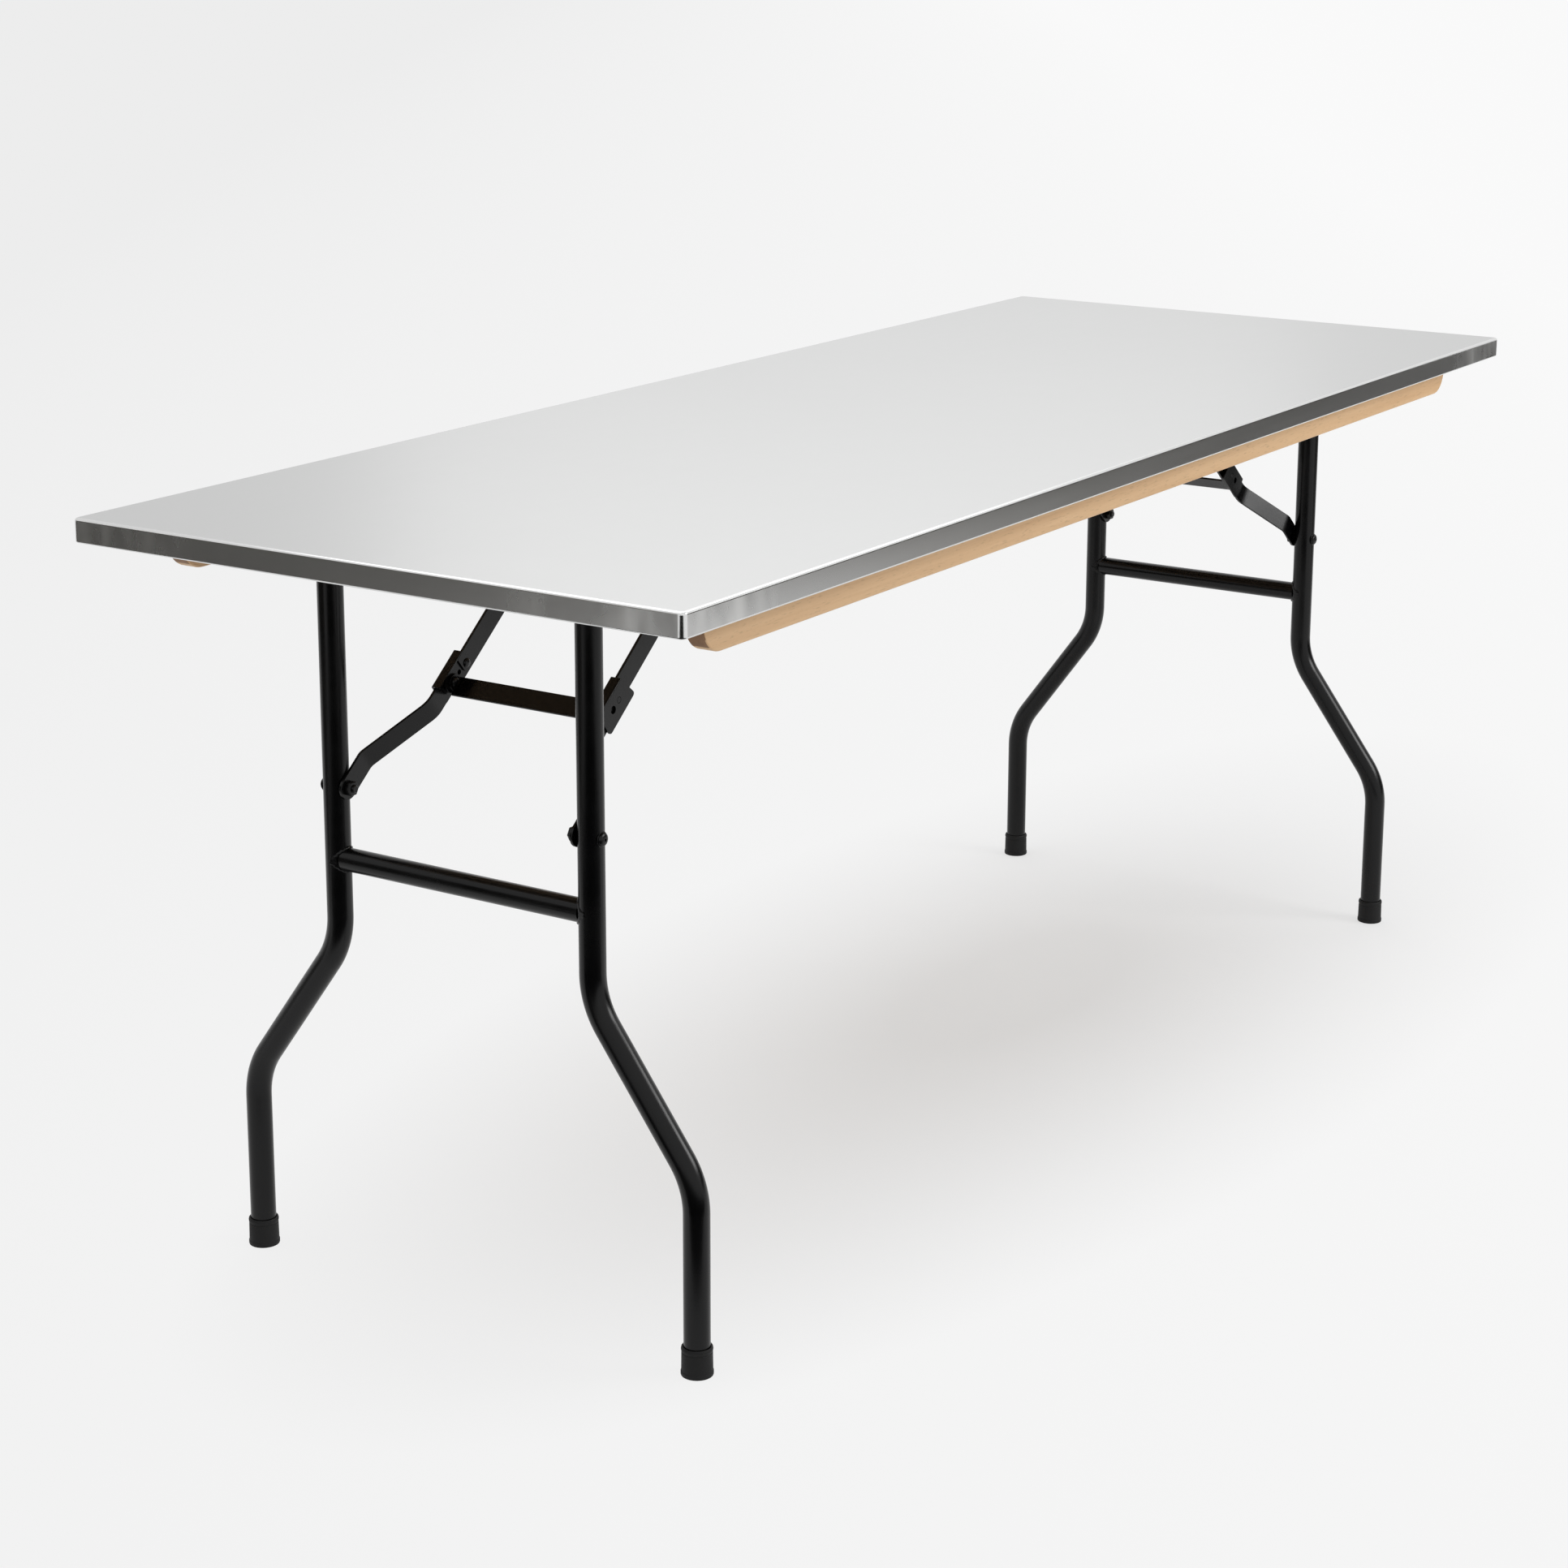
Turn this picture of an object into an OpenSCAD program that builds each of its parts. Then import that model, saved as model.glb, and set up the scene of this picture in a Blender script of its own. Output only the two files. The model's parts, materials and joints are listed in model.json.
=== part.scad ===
// Folding table: a stainless steel top on a board core, two wooden stiffening rails, and two
// wishbone leg sets of bent steel tube, each held open by a pair of over-centre folding braces.
//
// Frame: millimetres, +Z up, origin on the floor under the centre of the top, +X along the table.
// The "near" leg set is the one at -X and "far" the one at +X; "front" is the -Y side.
// Each leg set is built in its own half-plane coordinates: u runs from the leg hinge towards the
// middle of the table, z is up and y is outwards from the table's centre line.

/* [Table top] */
// Length of the top
top_length = 1830; // [1700:5:2200]
// Width of the top
top_width = 696; // [660:2:900]
// Height of the working surface above the floor
table_height = 762; // [740:1:800]
// Thickness of the steel sheet
skin_thickness = 1; // [0.8:0.1:1.5]
// Thickness of the board inside the steel
board_thickness = 22; // [18:1:30]
// Width of the steel lip folded under the board
lip_width = 15; // [8:1:24]
// Radius of the vertical corners of the top
corner_radius = 6; // [4:0.5:12]
// Radius of the fold along the top edges
fold_radius = 3; // [2:0.25:4]

/* [Rails] */
// Height of each wooden rail
rail_height = 38; // [30:1:40]
// Thickness of each wooden rail
rail_thickness = 20; // [15:1:26]
// Distance from the edge of the top to the outer face of a rail
rail_inset = 38; // [18:1:40]
// Distance from the end of the top to the end of a rail
rail_end_inset = 84; // [50:1:160]
// Radius of the lower corners at the rail ends
rail_end_radius = 28; // [10:1:29]
// Screws along each rail
rail_screw_count = 6; // [3:1:9]

/* [Legs] */
// Distance from the end of the top to each leg hinge
leg_end_inset = 135; // [115:1:150]
// Outside diameter of the leg tubes
leg_diameter = 25.4; // [24:0.2:26]
// Wall thickness of all the tubes
tube_wall = 1.5; // [1.2:0.1:2]
// Half the distance between the upper straight parts of a leg pair
leg_half_spacing_top = 151; // [144:1:160]
// Half the distance between the feet of a leg pair
leg_half_spacing_foot = 265.5; // [230:0.5:266]
// Height where the upper straight part and the splayed part would meet
upper_bend_height = 342; // [320:1:360]
// Height where the splayed part and the lower straight part would meet
lower_bend_height = 187; // [150:1:200]
// Bend radius of the tube's centre line
bend_radius = 85; // [60:1:100]
// Depth of the leg hinge below the board
hinge_drop = 18; // [17:0.5:19]
// Outside diameter of the pivot tube and the cross tube
cross_diameter = 23; // [20:0.5:23]
// Height of the cross tube's centre
cross_tube_height = 428; // [400:1:429]
// Length of the pivot tube at the top of a leg pair
pivot_tube_length = 440; // [420:2:480]

/* [Feet] */
// Height of a rubber foot
foot_height = 36; // [30:1:45]
// Radius of a foot at the floor
foot_base_radius = 15.5; // [15:0.25:16]
// Radius of a foot at its lip
foot_lip_radius = 14.6; // [14.2:0.1:14.9]
// Thickness of rubber under the tube
foot_sole = 6; // [4:0.5:10]

/* [Braces] */
// Height of the bolt that joins a brace to a leg
brace_bolt_height = 500; // [494:1:504]
// Distance along the table from the leg hinge to the brace pivot under the top
brace_reach = 267.5; // [262:0.5:268]
// Width of the flat brace links
link_width = 23; // [20:0.5:23]
// Thickness of the flat brace links
link_thickness = 3; // [2.5:0.1:3.5]
// Distance from the centre line to the inner face of the upper links
upper_link_offset = 91; // [80:1:96]
// Length of the lower link's straight part at the knee
knee_straight = 40; // [38:1:46]
// Length of the lower link's straight part at the leg
leg_straight = 32; // [24:1:40]
// Thickness of the lock channel
lock_thickness = 2; // [1.5:0.1:2.5]
// Length of the lock channel below the knee
lock_below = 31; // [24:0.5:32]
// Length of the lock channel above the knee, at its lower edge
lock_above = 21; // [19:0.5:26]
// Slant of the lock channel's upper end
lock_slant = 6; // [2:0.5:8]
// Overhang of the lock channel past the free edge of the links
lock_overhang = 4; // [1:0.5:5]
// Width of the bar that joins the two knees
knee_bar_width = 22; // [16:0.5:24]
// Thickness of the knee bar
knee_bar_thickness = 2.5; // [2:0.1:3]

/* [Fasteners] */
// Shank diameter of the brace bolts and the pins of the brackets
bolt_diameter = 8; // [6:0.5:8.5]
// Head diameter of the brace bolts
bolt_head_diameter = 13; // [12:0.5:16]
// Width across flats of the nuts
nut_across_flats = 13; // [12:0.5:14]
// Shank diameter of the rivets at the knee
rivet_diameter = 6; // [5:0.5:6.5]
// Head diameter of the rivets at the knee
rivet_head_diameter = 9.5; // [8.5:0.5:11]
// Shank diameter of the wood screws
screw_diameter = 4; // [3:0.5:5]
// Length of the bracket screws below the head
screw_length = 14; // [12:1:16]
// Thickness of the bracket plates
plate_thickness = 3; // [2:0.1:3]

/* [Hidden] */
$fn = 64;
seat_gap = 0.3;                  // space between pieces that sit beside each other
running_gap = 0.05;              // radial clearance of a turning fit
layer_gap = 0.4;                 // space between links that slide past each other
eps = 0.01;

side_names = ["front", "back"];

leg_position = top_length / 2 - leg_end_inset;

// Heights
board_top = table_height - skin_thickness;
board_bottom = board_top - board_thickness;
skin_bottom = board_bottom - skin_thickness;
rail_bottom = board_bottom - rail_height;
hinge_height = board_bottom - hinge_drop;
brace_pivot_height = hinge_height;

// Radii
leg_radius = leg_diameter / 2;
cross_radius = cross_diameter / 2;
bolt_radius = bolt_diameter / 2;
rivet_radius = rivet_diameter / 2;
screw_radius = screw_diameter / 2;
link_radius = link_width / 2;

// Leg tube: the splayed part leans outwards by splay_angle from the vertical
splay_angle = atan2(leg_half_spacing_foot - leg_half_spacing_top,
    upper_bend_height - lower_bend_height);
bend_setback = bend_radius * tan(splay_angle / 2);
splay_length = norm([leg_half_spacing_foot - leg_half_spacing_top,
    upper_bend_height - lower_bend_height]);
bend_thinning = 0.06;            // how much a bend's wall is drawn in at each face
bend_overlap = 0.5;              // length of straight tube over the end of a bend

// Brace: a straight line from the leg bolt up to the pivot under the top, with the knee where the
// two links lie flat along each other when the leg is folded up against the board. That needs the
// pivot under the top to be level with the leg hinge.
brace_rise = brace_pivot_height - brace_bolt_height;
brace_length = norm([brace_reach, brace_rise]);
brace_angle = atan2(brace_rise, brace_reach);
bolt_to_hinge = hinge_height - brace_bolt_height;
folded_gap = brace_reach - bolt_to_hinge;
lower_link_length = (brace_length - folded_gap) / 2;
upper_link_length = brace_length - lower_link_length;

// Layers across the knee, from the centre line outwards
upper_link_y = upper_link_offset;
lower_link_y = upper_link_y + link_thickness + layer_gap;
lock_channel_y = lower_link_y + link_thickness + layer_gap;
knee_tab_y = upper_link_y - knee_bar_thickness;
leg_inner_y = leg_half_spacing_top - leg_radius;
lower_link_leg_y = leg_inner_y - layer_gap - link_thickness;
joggle_run = lower_link_length - knee_straight - leg_straight;
joggle_shift = lower_link_leg_y - lower_link_y;
lock_tab_offset = 12;            // from the knee up to the rivet that fixes the lock channel
lock_tab_radius = 7;
knee_bar_offset = 12;            // from the knee down to the middle of the knee bar
knee_tab_radius = 8;
rivet_head_height = 2.2;
knee_bar_drop = -7.5;            // from the brace's centre line to the knee bar's middle
web_gap = 1;                     // between the links' upper edges and the channel's web

// Brackets
hinge_ear_radius = cross_radius + 5;
hinge_ear_y = (pivot_tube_length / 2) - plate_thickness - 6;
hinge_base_length = 70;
hinge_base_width = 34;
brace_ear_y = upper_link_y + link_thickness + layer_gap;
brace_base_length = 48;
brace_base_width = 30;
screw_head_radius = screw_radius * 2;
screw_head_height = 2;
rail_screw_depth = 12;           // thread of a rail screw in the board
rail_screw_inset = 60;           // from the end of a rail to its first screw
counterbore_depth = 10;

// ---- Placing --------------------------------------------------------------------------------

// Puts a leg set built at u = 0 at its end of the table; the far one is turned end for end
module leg_set(far = false) {
    mirror([far ? 1 : 0, 0, 0]) translate([-leg_position, 0, 0]) children();
}

// Puts a piece made for the back (+Y) side on its side
module on_side(front = false) {
    mirror([0, front ? 1 : 0, 0]) children();
}

module both_sides() {
    for (front = [false, true]) on_side(front) children();
}

// Brace coordinates: x along the brace from the leg bolt, z square to it, y outwards
module along_brace() {
    translate([0, 0, brace_bolt_height]) rotate([0, -brace_angle, 0]) children();
}

// A cylinder along +Y, from y to y + length
module y_rod(radius, length, y = 0) {
    translate([0, y, 0]) rotate([-90, 0, 0]) cylinder(r = radius, h = length);
}

// Extrudes a 2D outline drawn in (x, z) along +Y, from y to y + thickness
module y_plate(thickness, y = 0) {
    translate([0, y + thickness, 0]) rotate([90, 0, 0]) linear_extrude(thickness) children();
}

// ---- Top ------------------------------------------------------------------------------------

// A rounded rectangle centred on the origin
module rounded_outline(length, width, r) {
    square([length - 2 * r, width], center = true);
    square([length, width - 2 * r], center = true);
    for (x = [-1, 1], y = [-1, 1])
        translate([x * (length / 2 - r), y * (width / 2 - r)]) circle(r = r);
}

// Section of the steel around the edge, from the corner axis at x = 0 out to the fascia
module edge_outline(r, h, fold) {
    square([r, h - fold]);
    square([r - fold, h]);
    translate([r - fold, h - fold]) intersection() {
        circle(r = fold);
        square(fold);
    }
}

module edge_section() {
    difference() {
        edge_outline(corner_radius, table_height - skin_bottom, fold_radius);
        translate([0, skin_thickness]) edge_outline(corner_radius - skin_thickness, board_thickness,
            fold_radius - skin_thickness);
    }
}

// One sheet: a top plate, rolled edges, fascias and a lip folded under the board
module top_skin() {
    half_length = top_length / 2 - corner_radius;
    half_width = top_width / 2 - corner_radius;
    color("silver") {
        translate([-half_length, -half_width, board_top])
            cube([2 * half_length, 2 * half_width, skin_thickness]);
        translate([0, 0, skin_bottom]) linear_extrude(skin_thickness) difference() {
            square([2 * half_length, 2 * half_width], center = true);
            square([top_length - 2 * lip_width, top_width - 2 * lip_width], center = true);
        }
        for (side = [0, 1]) mirror([0, side, 0]) translate([-half_length, half_width, skin_bottom])
            rotate([90, 0, 90]) linear_extrude(2 * half_length) edge_section();
        for (side = [0, 1]) mirror([side, 0, 0]) translate([half_length, half_width, skin_bottom])
            rotate([90, 0, 0]) linear_extrude(2 * half_width) edge_section();
        for (x = [0, 1], y = [0, 1]) mirror([x, 0, 0]) mirror([0, y, 0])
            translate([half_length, half_width, skin_bottom])
                rotate_extrude(angle = 90) edge_section();
    }
}

module core_board() {
    side_gap = fold_radius + eps;
    color("burlywood") difference() {
        translate([0, 0, board_bottom]) linear_extrude(board_thickness)
            rounded_outline(top_length - 2 * side_gap, top_width - 2 * side_gap,
                corner_radius - side_gap + skin_thickness);
        rail_screw_places() board_screw_hole(rail_screw_depth);
        hinge_screw_places() board_screw_hole(screw_length - plate_thickness);
        brace_screw_places() board_screw_hole(screw_length - plate_thickness);
    }
}

// Pilot hole upwards from the board's underside
module board_screw_hole(depth) {
    translate([0, 0, board_bottom - eps]) cylinder(r = screw_radius + running_gap, h = depth + 0.5);
}

// ---- Rails ----------------------------------------------------------------------------------

rail_length = top_length - 2 * rail_end_inset;
rail_y = top_width / 2 - rail_inset - rail_thickness;

module rail_outline() {
    half = rail_length / 2;
    translate([-half, rail_end_radius]) square([rail_length, rail_height - rail_end_radius]);
    translate([rail_end_radius - half, 0])
        square([rail_length - 2 * rail_end_radius, rail_height]);
    intersection() {
        translate([-half, 0]) square([rail_length, rail_height]);
        for (side = [-1, 1])
            translate([side * (half - rail_end_radius), rail_end_radius])
                circle(r = rail_end_radius);
    }
}

module rail_screw_places() {
    span = rail_length - 2 * rail_screw_inset;
    for (y = [-1, 1], i = [0 : rail_screw_count - 1])
        translate([-span / 2 + i * span / (rail_screw_count - 1),
            y * (rail_y + rail_thickness / 2), 0]) children();
}

module rail(front) {
    color("tan") difference() {
        on_side(front) translate([0, 0, rail_bottom]) y_plate(rail_thickness, rail_y)
            rail_outline();
        rail_screw_places() translate([0, 0, rail_bottom - eps]) {
            cylinder(r = screw_radius + running_gap, h = rail_height + 1);
            cylinder(r = screw_head_radius + seat_gap, h = counterbore_depth);
        }
    }
}

// Pan-head screw pointing up, with the underside of its head at z = 0
module wood_screw(length) {
    cylinder(r = screw_radius, h = length);
    difference() {
        translate([0, 0, -screw_head_height])
            cylinder(r1 = screw_head_radius * 0.75, r2 = screw_head_radius, h = screw_head_height,
                $fn = 64);
        for (turn = [0, 90]) rotate(turn)
            translate([-screw_head_radius * 0.55, -0.4, -screw_head_height - eps])
                cube([screw_head_radius * 1.1, 0.8, 1]);
    }
}

module rail_screws() {
    color("gray") rail_screw_places()
        translate([0, 0, rail_bottom + counterbore_depth])
            wood_screw(rail_height - counterbore_depth + rail_screw_depth);
}

// ---- Hinge brackets -------------------------------------------------------------------------

// Plate ear around the pivot tube, and a base flange under the board
module hinge_bracket(front, far) {
    color("dimgray") leg_set(far) on_side(front) difference() {
        union() {
            y_plate(plate_thickness, hinge_ear_y) hinge_ear_outline();
            translate([-hinge_base_length / 2, hinge_ear_y, board_bottom - plate_thickness])
                cube([hinge_base_length, hinge_base_width, plate_thickness]);
        }
        translate([0, 0, hinge_height])
            y_rod(cross_radius + running_gap, plate_thickness + 2, hinge_ear_y - 1);
        hinge_screw_pattern() translate([0, 0, board_bottom - plate_thickness - 1])
            cylinder(r = screw_radius + running_gap, h = plate_thickness + 2);
    }
}

module hinge_ear_outline() {
    translate([0, hinge_height]) circle(r = hinge_ear_radius);
    translate([-hinge_ear_radius, hinge_height])
        square([2 * hinge_ear_radius, board_bottom - hinge_height]);
}

module hinge_screw_pattern() {
    for (x = [-1, 1]) translate([x * (hinge_base_length / 2 - 9),
        hinge_ear_y + plate_thickness + (hinge_base_width - plate_thickness) / 2, 0]) children();
}

module hinge_screw_places() {
    for (far = [false, true]) leg_set(far) both_sides() hinge_screw_pattern() children();
}

module hinge_bracket_screws() {
    color("gray") hinge_screw_places() translate([0, 0, board_bottom - plate_thickness])
        wood_screw(screw_length);
}

// ---- Brace brackets -------------------------------------------------------------------------

module brace_bracket(front, far) {
    color("dimgray") leg_set(far) on_side(front) difference() {
        union() {
            y_plate(plate_thickness, brace_ear_y) brace_ear_outline();
            translate([brace_reach + link_radius - brace_base_length, brace_ear_y,
                board_bottom - plate_thickness])
                cube([brace_base_length, brace_base_width, plate_thickness]);
        }
        translate([brace_reach, 0, brace_pivot_height])
            y_rod(bolt_radius + running_gap, plate_thickness + 2, brace_ear_y - 1);
        brace_screw_pattern() translate([0, 0, board_bottom - plate_thickness - 1])
            cylinder(r = screw_radius + running_gap, h = plate_thickness + 2);
    }
}

module brace_ear_outline() {
    translate([brace_reach, brace_pivot_height]) circle(r = link_radius);
    translate([brace_reach - link_radius, brace_pivot_height])
        square([2 * link_radius, board_bottom - brace_pivot_height]);
}

module brace_screw_pattern() {
    for (x = [8, brace_base_length - 8])
        translate([brace_reach + link_radius - brace_base_length + x,
            brace_ear_y + plate_thickness + (brace_base_width - plate_thickness) / 2, 0])
            children();
}

module brace_screw_places() {
    for (far = [false, true]) leg_set(far) both_sides() brace_screw_pattern() children();
}

module brace_bracket_screws() {
    color("gray") brace_screw_places() translate([0, 0, board_bottom - plate_thickness])
        wood_screw(screw_length);
}

// Headed pin through the bracket's ear and the top of the upper link
module brace_pins(far) {
    inner = upper_link_y - seat_gap;
    outer = brace_ear_y + plate_thickness + seat_gap;
    color("gray") leg_set(far) both_sides() translate([brace_reach, 0, brace_pivot_height]) {
        y_rod(bolt_radius, outer - inner, inner);
        y_rod(bolt_radius + 2, 2, outer - eps);
        y_rod(bolt_radius + 2, 2, inner - 2 + eps);
    }
}

// ---- Legs -----------------------------------------------------------------------------------

// The section of a leg tube, drawn in by inset at both faces
module leg_ring(inset = 0) {
    difference() {
        circle(r = leg_radius - inset);
        circle(r = leg_radius - tube_wall + inset);
    }
}

// Straight length of leg tube standing on z = 0
module leg_straight_tube(length) {
    linear_extrude(length) leg_ring();
}

// Bent length of leg tube about the X axis, from the direction start towards turn
module leg_bend(start) {
    rotate([0, 90, 0]) rotate([0, 0, start]) rotate_extrude(angle = splay_angle)
        translate([bend_radius, 0]) leg_ring(bend_thinning);
}

// The bent tube from the pivot tube down to the floor end. The straight lengths run a little way
// over the ends of the bends, where the wall is drawn thin.
module leg_tube() {
    upper_end = upper_bend_height + bend_setback;
    lower_start = lower_bend_height - bend_setback;
    translate([0, leg_half_spacing_top, upper_end - bend_overlap])
        leg_straight_tube(hinge_height - upper_end + bend_overlap);
    translate([0, leg_half_spacing_top + bend_radius, upper_end]) leg_bend(-90);
    translate([0, leg_half_spacing_top, upper_bend_height]) rotate([splay_angle, 0, 0])
        translate([0, 0, bend_setback - bend_overlap - splay_length])
            leg_straight_tube(splay_length - 2 * (bend_setback - bend_overlap));
    translate([0, leg_half_spacing_foot - bend_radius, lower_start]) leg_bend(90);
    translate([0, leg_half_spacing_foot, foot_sole])
        leg_straight_tube(lower_start + bend_overlap - foot_sole);
}

module leg(front, far) {
    inner_side = leg_half_spacing_top - leg_radius;
    color("#1c1c1c") leg_set(far) on_side(front) difference() {
        leg_tube();
        translate([0, 0, hinge_height])
            y_rod(cross_radius + seat_gap / 3, leg_diameter + 2, inner_side - 1);
        translate([0, 0, brace_bolt_height])
            y_rod(bolt_radius + running_gap, leg_diameter + 2, inner_side - 1);
    }
}

// Tube across the table, from -half to +half
module cross_pipe(half) {
    difference() {
        y_rod(cross_radius, 2 * half, -half);
        y_rod(cross_radius - tube_wall, 2 * half + 2, -half - 1);
    }
}

module pivot_tube(far) {
    color("#1c1c1c") leg_set(far) translate([0, 0, hinge_height])
        cross_pipe(pivot_tube_length / 2);
}

// The ends are cut to the curve of the legs
module cross_tube(far) {
    color("#1c1c1c") leg_set(far) difference() {
        translate([0, 0, cross_tube_height]) cross_pipe(leg_half_spacing_top);
        for (y = [-1, 1]) translate([0, y * leg_half_spacing_top, cross_tube_height - leg_diameter])
            cylinder(r = leg_radius + seat_gap / 3, h = 2 * leg_diameter);
    }
}

// Rubber cup that flares towards the floor, with a groove under its lip
module foot(front, far) {
    bore = leg_radius + running_gap;
    rim = 1.2;
    color("#151515") leg_set(far) on_side(front) translate([0, leg_half_spacing_foot, 0])
        rotate_extrude() difference() {
            polygon([[0, 0], [foot_base_radius - rim, 0], [foot_base_radius, rim],
                [foot_base_radius, rim + 3], [foot_lip_radius, foot_height - rim],
                [foot_lip_radius - rim / 2, foot_height], [0, foot_height]]);
            translate([-1, foot_sole]) square([bore + 1, foot_height]);
        }
}

// ---- Brace bolts and nuts -------------------------------------------------------------------

// Button-head bolt through the leg: its shank stops at the leg's inner side
module brace_bolts(far) {
    outer = leg_half_spacing_top + leg_radius;
    head_height = 3.5;
    socket_radius = 3;
    color("#202020") leg_set(far) both_sides() translate([0, 0, brace_bolt_height]) difference() {
        union() {
            y_rod(bolt_radius, outer - leg_inner_y, leg_inner_y);
            translate([0, outer, 0]) rotate([-90, 0, 0]) button_head(head_height);
        }
        translate([0, outer + head_height - 2.2, 0]) rotate([-90, 0, 0])
            cylinder(r = socket_radius, h = 3, $fn = 6);
    }
}

// A domed head standing on z = 0
module button_head(head_height) {
    r = bolt_head_diameter / 2;
    rotate_extrude() {
        square([r, 1]);
        translate([0, 1]) intersection() {
            scale([1, 1]) translate([0, 0]) circle(r = r);
            square([r, head_height - 1]);
        }
    }
}

// Hex nut with the stud that passes through the lower link's eye
module brace_nuts(far) {
    nut_height = 6;
    stud_end = lower_link_leg_y - nut_height - 2;
    corner = nut_across_flats / 2 / cos(30);
    color("#202020") leg_set(far) both_sides() translate([0, 0, brace_bolt_height]) {
        y_rod(bolt_radius, leg_inner_y - seat_gap / 2 - stud_end, stud_end);
        translate([0, lower_link_leg_y - nut_height, 0]) rotate([-90, 30, 0])
            cylinder(r = corner, h = nut_height - eps, $fn = 6);
    }
}

// ---- Brace links ----------------------------------------------------------------------------

// Straight upper link: from a little below the knee up to the pivot under the top
module upper_link(front, far) {
    link_end = lower_link_length - knee_bar_offset;
    color("#1e1e1e") leg_set(far) on_side(front) along_brace() difference() {
        y_plate(link_thickness, upper_link_y) {
            translate([link_end, 0]) circle(r = link_radius);
            translate([brace_length, 0]) circle(r = link_radius);
            translate([link_end, -link_radius]) square([brace_length - link_end, link_width]);
        }
        for (x = [-knee_bar_offset, 0, lock_tab_offset]) translate([lower_link_length + x, 0, 0])
            y_rod(rivet_radius + running_gap, link_thickness + 2, upper_link_y - 1);
        translate([brace_length, 0, 0])
            y_rod(bolt_radius + running_gap, link_thickness + 2, upper_link_y - 1);
    }
}

// Lower link: straight at the leg, joggled inwards, straight again at the knee
module lower_link(front, far) {
    joggle_start = leg_straight;
    joggle_end = lower_link_length - knee_straight;
    plan = [
        [0, lower_link_leg_y], [joggle_start, lower_link_leg_y],
        [joggle_end, lower_link_y], [lower_link_length, lower_link_y],
        [lower_link_length, lower_link_y + link_thickness],
        [joggle_end + joggle_corner(), lower_link_y + link_thickness],
        [joggle_start + joggle_corner(), lower_link_leg_y + link_thickness],
        [0, lower_link_leg_y + link_thickness]];
    color("#1e1e1e") leg_set(far) on_side(front) along_brace() difference() {
        union() {
            translate([0, 0, -link_radius]) linear_extrude(link_width) polygon(plan);
            y_rod(link_radius, link_thickness, lower_link_leg_y);
            translate([lower_link_length, 0, 0])
                y_rod(link_radius, link_thickness, lower_link_y);
        }
        y_rod(bolt_radius + running_gap, link_thickness + 2, lower_link_leg_y - 1);
        translate([lower_link_length, 0, 0])
            y_rod(rivet_radius + running_gap, link_thickness + 2, lower_link_y - 1);
    }
}

// Shift of the outer corners of a joggle that keeps the bar's thickness through the bend
function joggle_corner() = link_thickness * tan(atan2(joggle_shift, joggle_run) / 2);

// ---- Knee -----------------------------------------------------------------------------------

// Angle riveted to the upper link by a tab on its inner side. Its web lies over the links' upper
// edges and stops the knee when the brace is straight; the lower link swings out from under it.
module lock_channel(front, far) {
    web_bottom = link_radius + web_gap;
    start = lower_link_length - lock_below;
    length = lock_below + lock_above;
    inner_y = upper_link_y - lock_thickness;
    tab_x = lower_link_length + lock_tab_offset;
    color("#1e1e1e") leg_set(far) on_side(front) along_brace() difference() {
        union() {
            y_plate(lock_thickness, lock_channel_y) lock_flange(start, length);
            y_plate(lock_thickness, inner_y) lock_tab(tab_x, start + length - lock_slant);
            translate([start, inner_y, web_bottom]) cube([length - lock_slant,
                lock_channel_y + lock_thickness - inner_y, lock_thickness]);
        }
        translate([lower_link_length, 0, 0])
            y_rod(rivet_radius + running_gap, lock_thickness + 2, lock_channel_y - 1);
        translate([lower_link_length - knee_bar_offset, 0, 0])
            y_rod(rivet_radius + 1, lock_thickness + 2, lock_channel_y - 1);
        translate([tab_x, 0, 0])
            y_rod(rivet_radius + running_gap, lock_thickness + 2, inner_y - 1);
    }
}

// Outer flange, with its upper end slanted
module lock_flange(start, length) {
    corner = 4;
    bottom = -link_radius - lock_overhang;
    top = link_radius + web_gap + lock_thickness;
    end = start + length;
    polygon([[start, bottom + corner], [end, bottom + corner], [end - lock_slant, top], [start, top]]);
    translate([start + corner, bottom]) square([length - 2 * corner, corner + 1]);
    for (x = [start + corner, end - corner]) translate([x, bottom + corner]) circle(r = corner);
}

// Tab around the fixing rivet, as far along as the end of the web
module lock_tab(x, end) {
    translate([x, 0]) circle(r = lock_tab_radius);
    translate([x - lock_tab_radius, 0])
        square([end - x + lock_tab_radius, link_radius + web_gap + lock_thickness]);
}

// Flat bar between the knees, with an end tab folded up along each upper link
module knee_bar(far) {
    bar_middle = lower_link_length - knee_bar_offset;
    bar_bottom = knee_bar_drop - knee_bar_thickness / 2;
    color("#1e1e1e") leg_set(far) along_brace() difference() {
        union() {
            translate([bar_middle - knee_bar_width / 2, -upper_link_y, bar_bottom])
                cube([knee_bar_width, 2 * upper_link_y, knee_bar_thickness]);
            both_sides() y_plate(knee_bar_thickness, knee_tab_y) {
                translate([bar_middle, 0]) circle(r = knee_tab_radius);
                translate([bar_middle - knee_tab_radius, bar_bottom])
                    square([2 * knee_tab_radius, -bar_bottom]);
            }
        }
        both_sides() translate([bar_middle, 0, 0])
            y_rod(rivet_radius + running_gap, knee_bar_thickness + 4, knee_tab_y - 2);
    }
}

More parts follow.
